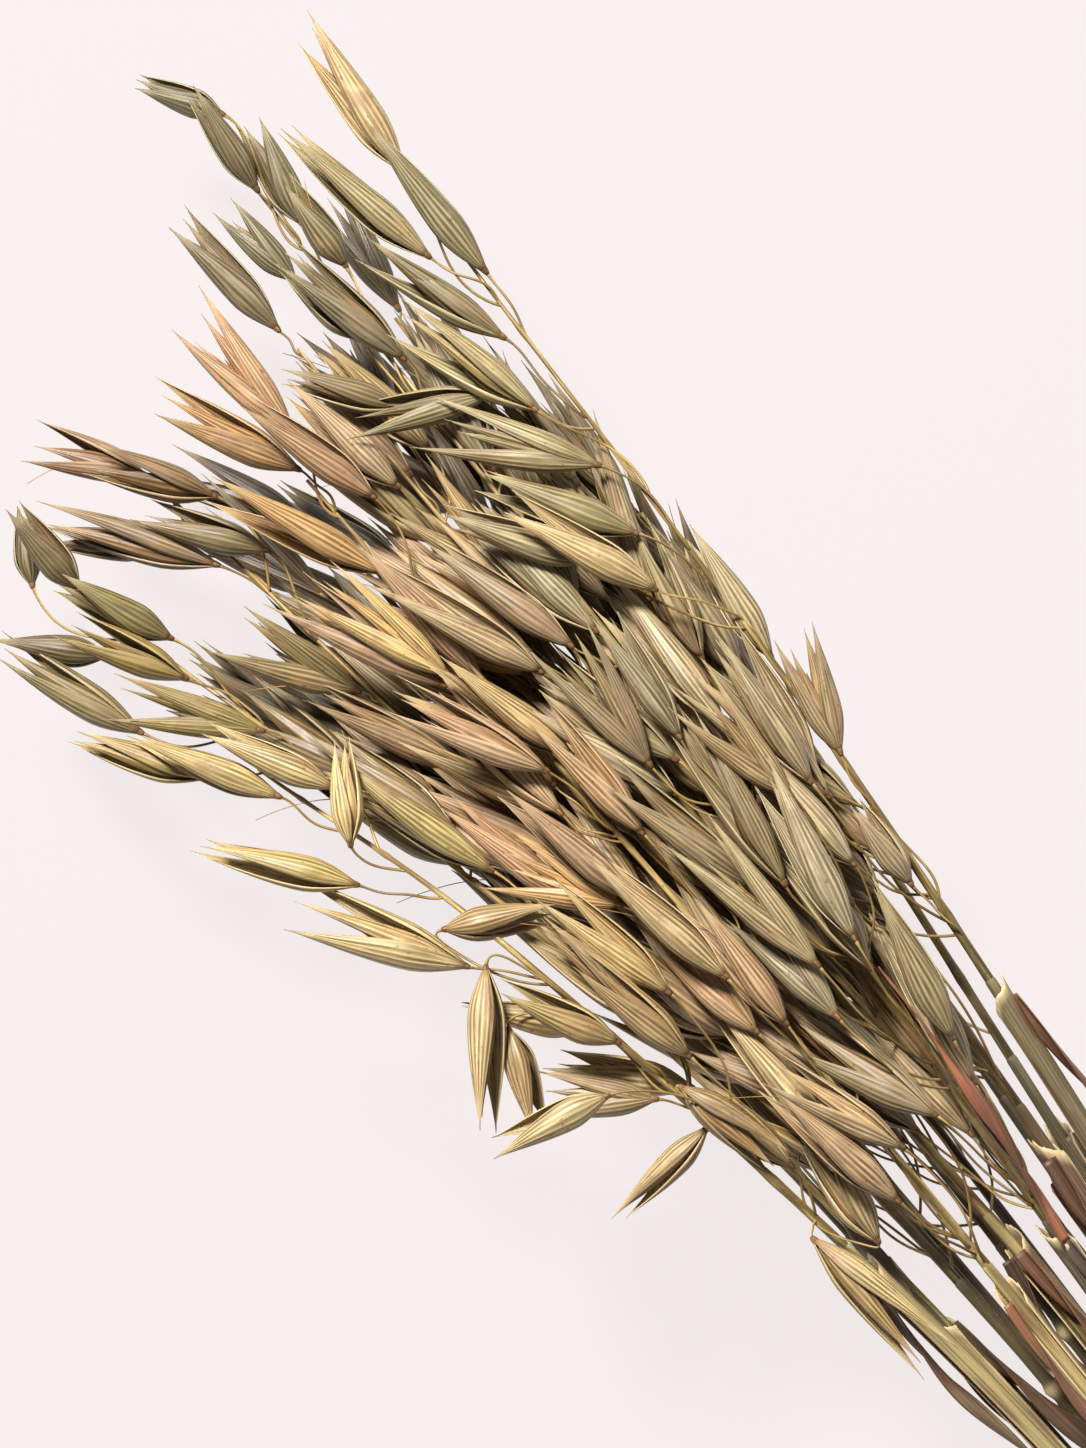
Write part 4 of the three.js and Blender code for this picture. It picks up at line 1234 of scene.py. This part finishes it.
def twine_material():
    s = Dried("jute_twine")
    hair = s.noise(0.12, 2.2, detail=4.0, rough=0.7)
    cloud = s.noise(1.0, 9.0, detail=3.0)
    colour = s.mix(s.ramp(hair, 0.35, 0.65), s.tinted(s.tone, rgba(0.5, 0.46, 0.4)), s.tone)
    colour = s.layers(colour, [(cloud, 0.5, 0.75, 0.6, paint(206, 182, 138))])
    return s.finish(colour, s.ramp(cloud, 0.3, 0.7, 0.8, 0.95), hair, 0.0003, 0.2)


glume_look = glume_material()
straw_look = stem_material("dry_straw", paint(96, 74, 46))
husk_look = stem_material("dry_husk", paint(96, 60, 44))
twine_look = twine_material()


def take_place(piece, node):
    """A piece of the bunch takes the place of its solid."""
    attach(piece, "root")
    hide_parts(node)


for owner in range(len(STEMS)):
    number = f"{owner + 1:02d}"
    take_place(culm(owner, straw_look), "stem_" + number)
    take_place(panicle(owner, glume_look), "panicle_" + number)
    if owner in SHEATHS:
        take_place(sheath(owner, husk_look), "sheath_" + number)
take_place(tie(twine_look), "tie")

# ---------------------------------------------------------------- floor, lights and camera
VIEW_MIDDLE = (-225.0, -0.65, 35.0)  # in the bunch's own millimetres
VIEW_TURN = math.radians(51)
VIEW_HEIGHT = 0.210
CAMERA_ABOVE = 1.3
SENSOR = 36.0
FLOOR_HALF = 6.0
FLOOR_TONE = linear(244, 237, 236)
# Each light: its name, its place from the middle of the view in metres, watts, size and colour.
LIGHTS = [
    ("key", (-0.8, 0.15, 1.0), 37.0, 0.3, (1.0, 0.98, 0.94)),
    ("fill", (0.9, 0.6, 1.1), 2.2, 1.0, (0.97, 0.98, 1.0)),
]
HORIZON = (0.1, 0.2)  # how far up the room turns dim
ROOM = (0.9, 0.08)  # how bright it is under that and above it
view_middle = Vector(np.array(VIEW_MIDDLE) * MM + TO_FRAME)


def add_floor():
    shader = Shader("pale_floor")
    dapple = shader.node("ShaderNodeTexNoise", {"Scale": 3.0, "Detail": 2.0}).outputs["Fac"]
    dappled = rgba(*FLOOR_TONE), rgba(*FLOOR_TONE * 0.985)
    # It glows like a light table, so that the bunch's shadow is only just there.
    for key, value in (
        ("Base Color", rgba(*FLOOR_TONE * 0.05)),
        ("Emission Color", shader.mix(shader.ramp(dapple, 0.3, 0.7), *dappled)),
        ("Emission Strength", 0.94),
        ("Roughness", 0.9),
        ("Specular IOR Level", 0.1),
    ):
        shader.put(shader.principled.inputs[key], value)
    mesh = bpy.data.meshes.new("floor")
    corners = [(x * FLOOR_HALF, y * FLOOR_HALF, 0) for x, y in ((-1, -1), (1, -1), (1, 1), (-1, 1))]
    mesh.from_pydata(corners, [], [(0, 1, 2, 3)])
    mesh.materials.append(shader.material)
    floor = bpy.data.objects.new("floor", mesh)
    floor.location.z = -0.0003
    bpy.context.scene.collection.objects.link(floor)


def add_light(name, place, energy, size, colour):
    data = bpy.data.lights.new(name, "AREA")
    data.shape = "DISK"
    data.size = size
    data.energy = energy
    data.color = colour
    light = bpy.data.objects.new(name, data)
    light.location = view_middle + Vector(place)
    light.rotation_euler = (-Vector(place)).to_track_quat("-Z", "Y").to_euler()
    bpy.context.scene.collection.objects.link(light)


def add_camera():
    data = bpy.data.cameras.new("camera")
    data.sensor_fit = "VERTICAL"
    data.sensor_height = SENSOR
    data.lens = SENSOR * CAMERA_ABOVE / VIEW_HEIGHT
    data.clip_start = 0.05
    data.clip_end = 50.0
    camera = bpy.data.objects.new("camera", data)
    place = Matrix.Translation(view_middle + Vector((0, 0, CAMERA_ABOVE)))
    camera.matrix_world = place @ Matrix.Rotation(VIEW_TURN, 4, "Z")
    bpy.context.scene.collection.objects.link(camera)
    bpy.context.scene.camera = camera


def add_world():
    """A dim room, as pale as the floor along the horizon."""
    world = bpy.data.worlds.new("soft_box")
    world.use_nodes = True
    nodes, links = world.node_tree.nodes, world.node_tree.links
    direction = nodes.new("ShaderNodeTexCoord")
    split = nodes.new("ShaderNodeSeparateXYZ")
    level = nodes.new("ShaderNodeMapRange")
    set_range(level, *HORIZON, *ROOM)
    links.new(direction.outputs["Generated"], split.inputs[0])
    links.new(split.outputs["Z"], level.inputs["Value"])
    links.new(level.outputs[0], nodes["Background"].inputs["Strength"])
    nodes["Background"].inputs["Color"].default_value = (1.0, 0.97, 0.96, 1.0)
    bpy.context.scene.world = world


add_floor()
for light in LIGHTS:
    add_light(*light)
add_camera()
add_world()
bpy.context.scene.view_settings.view_transform = "Standard"
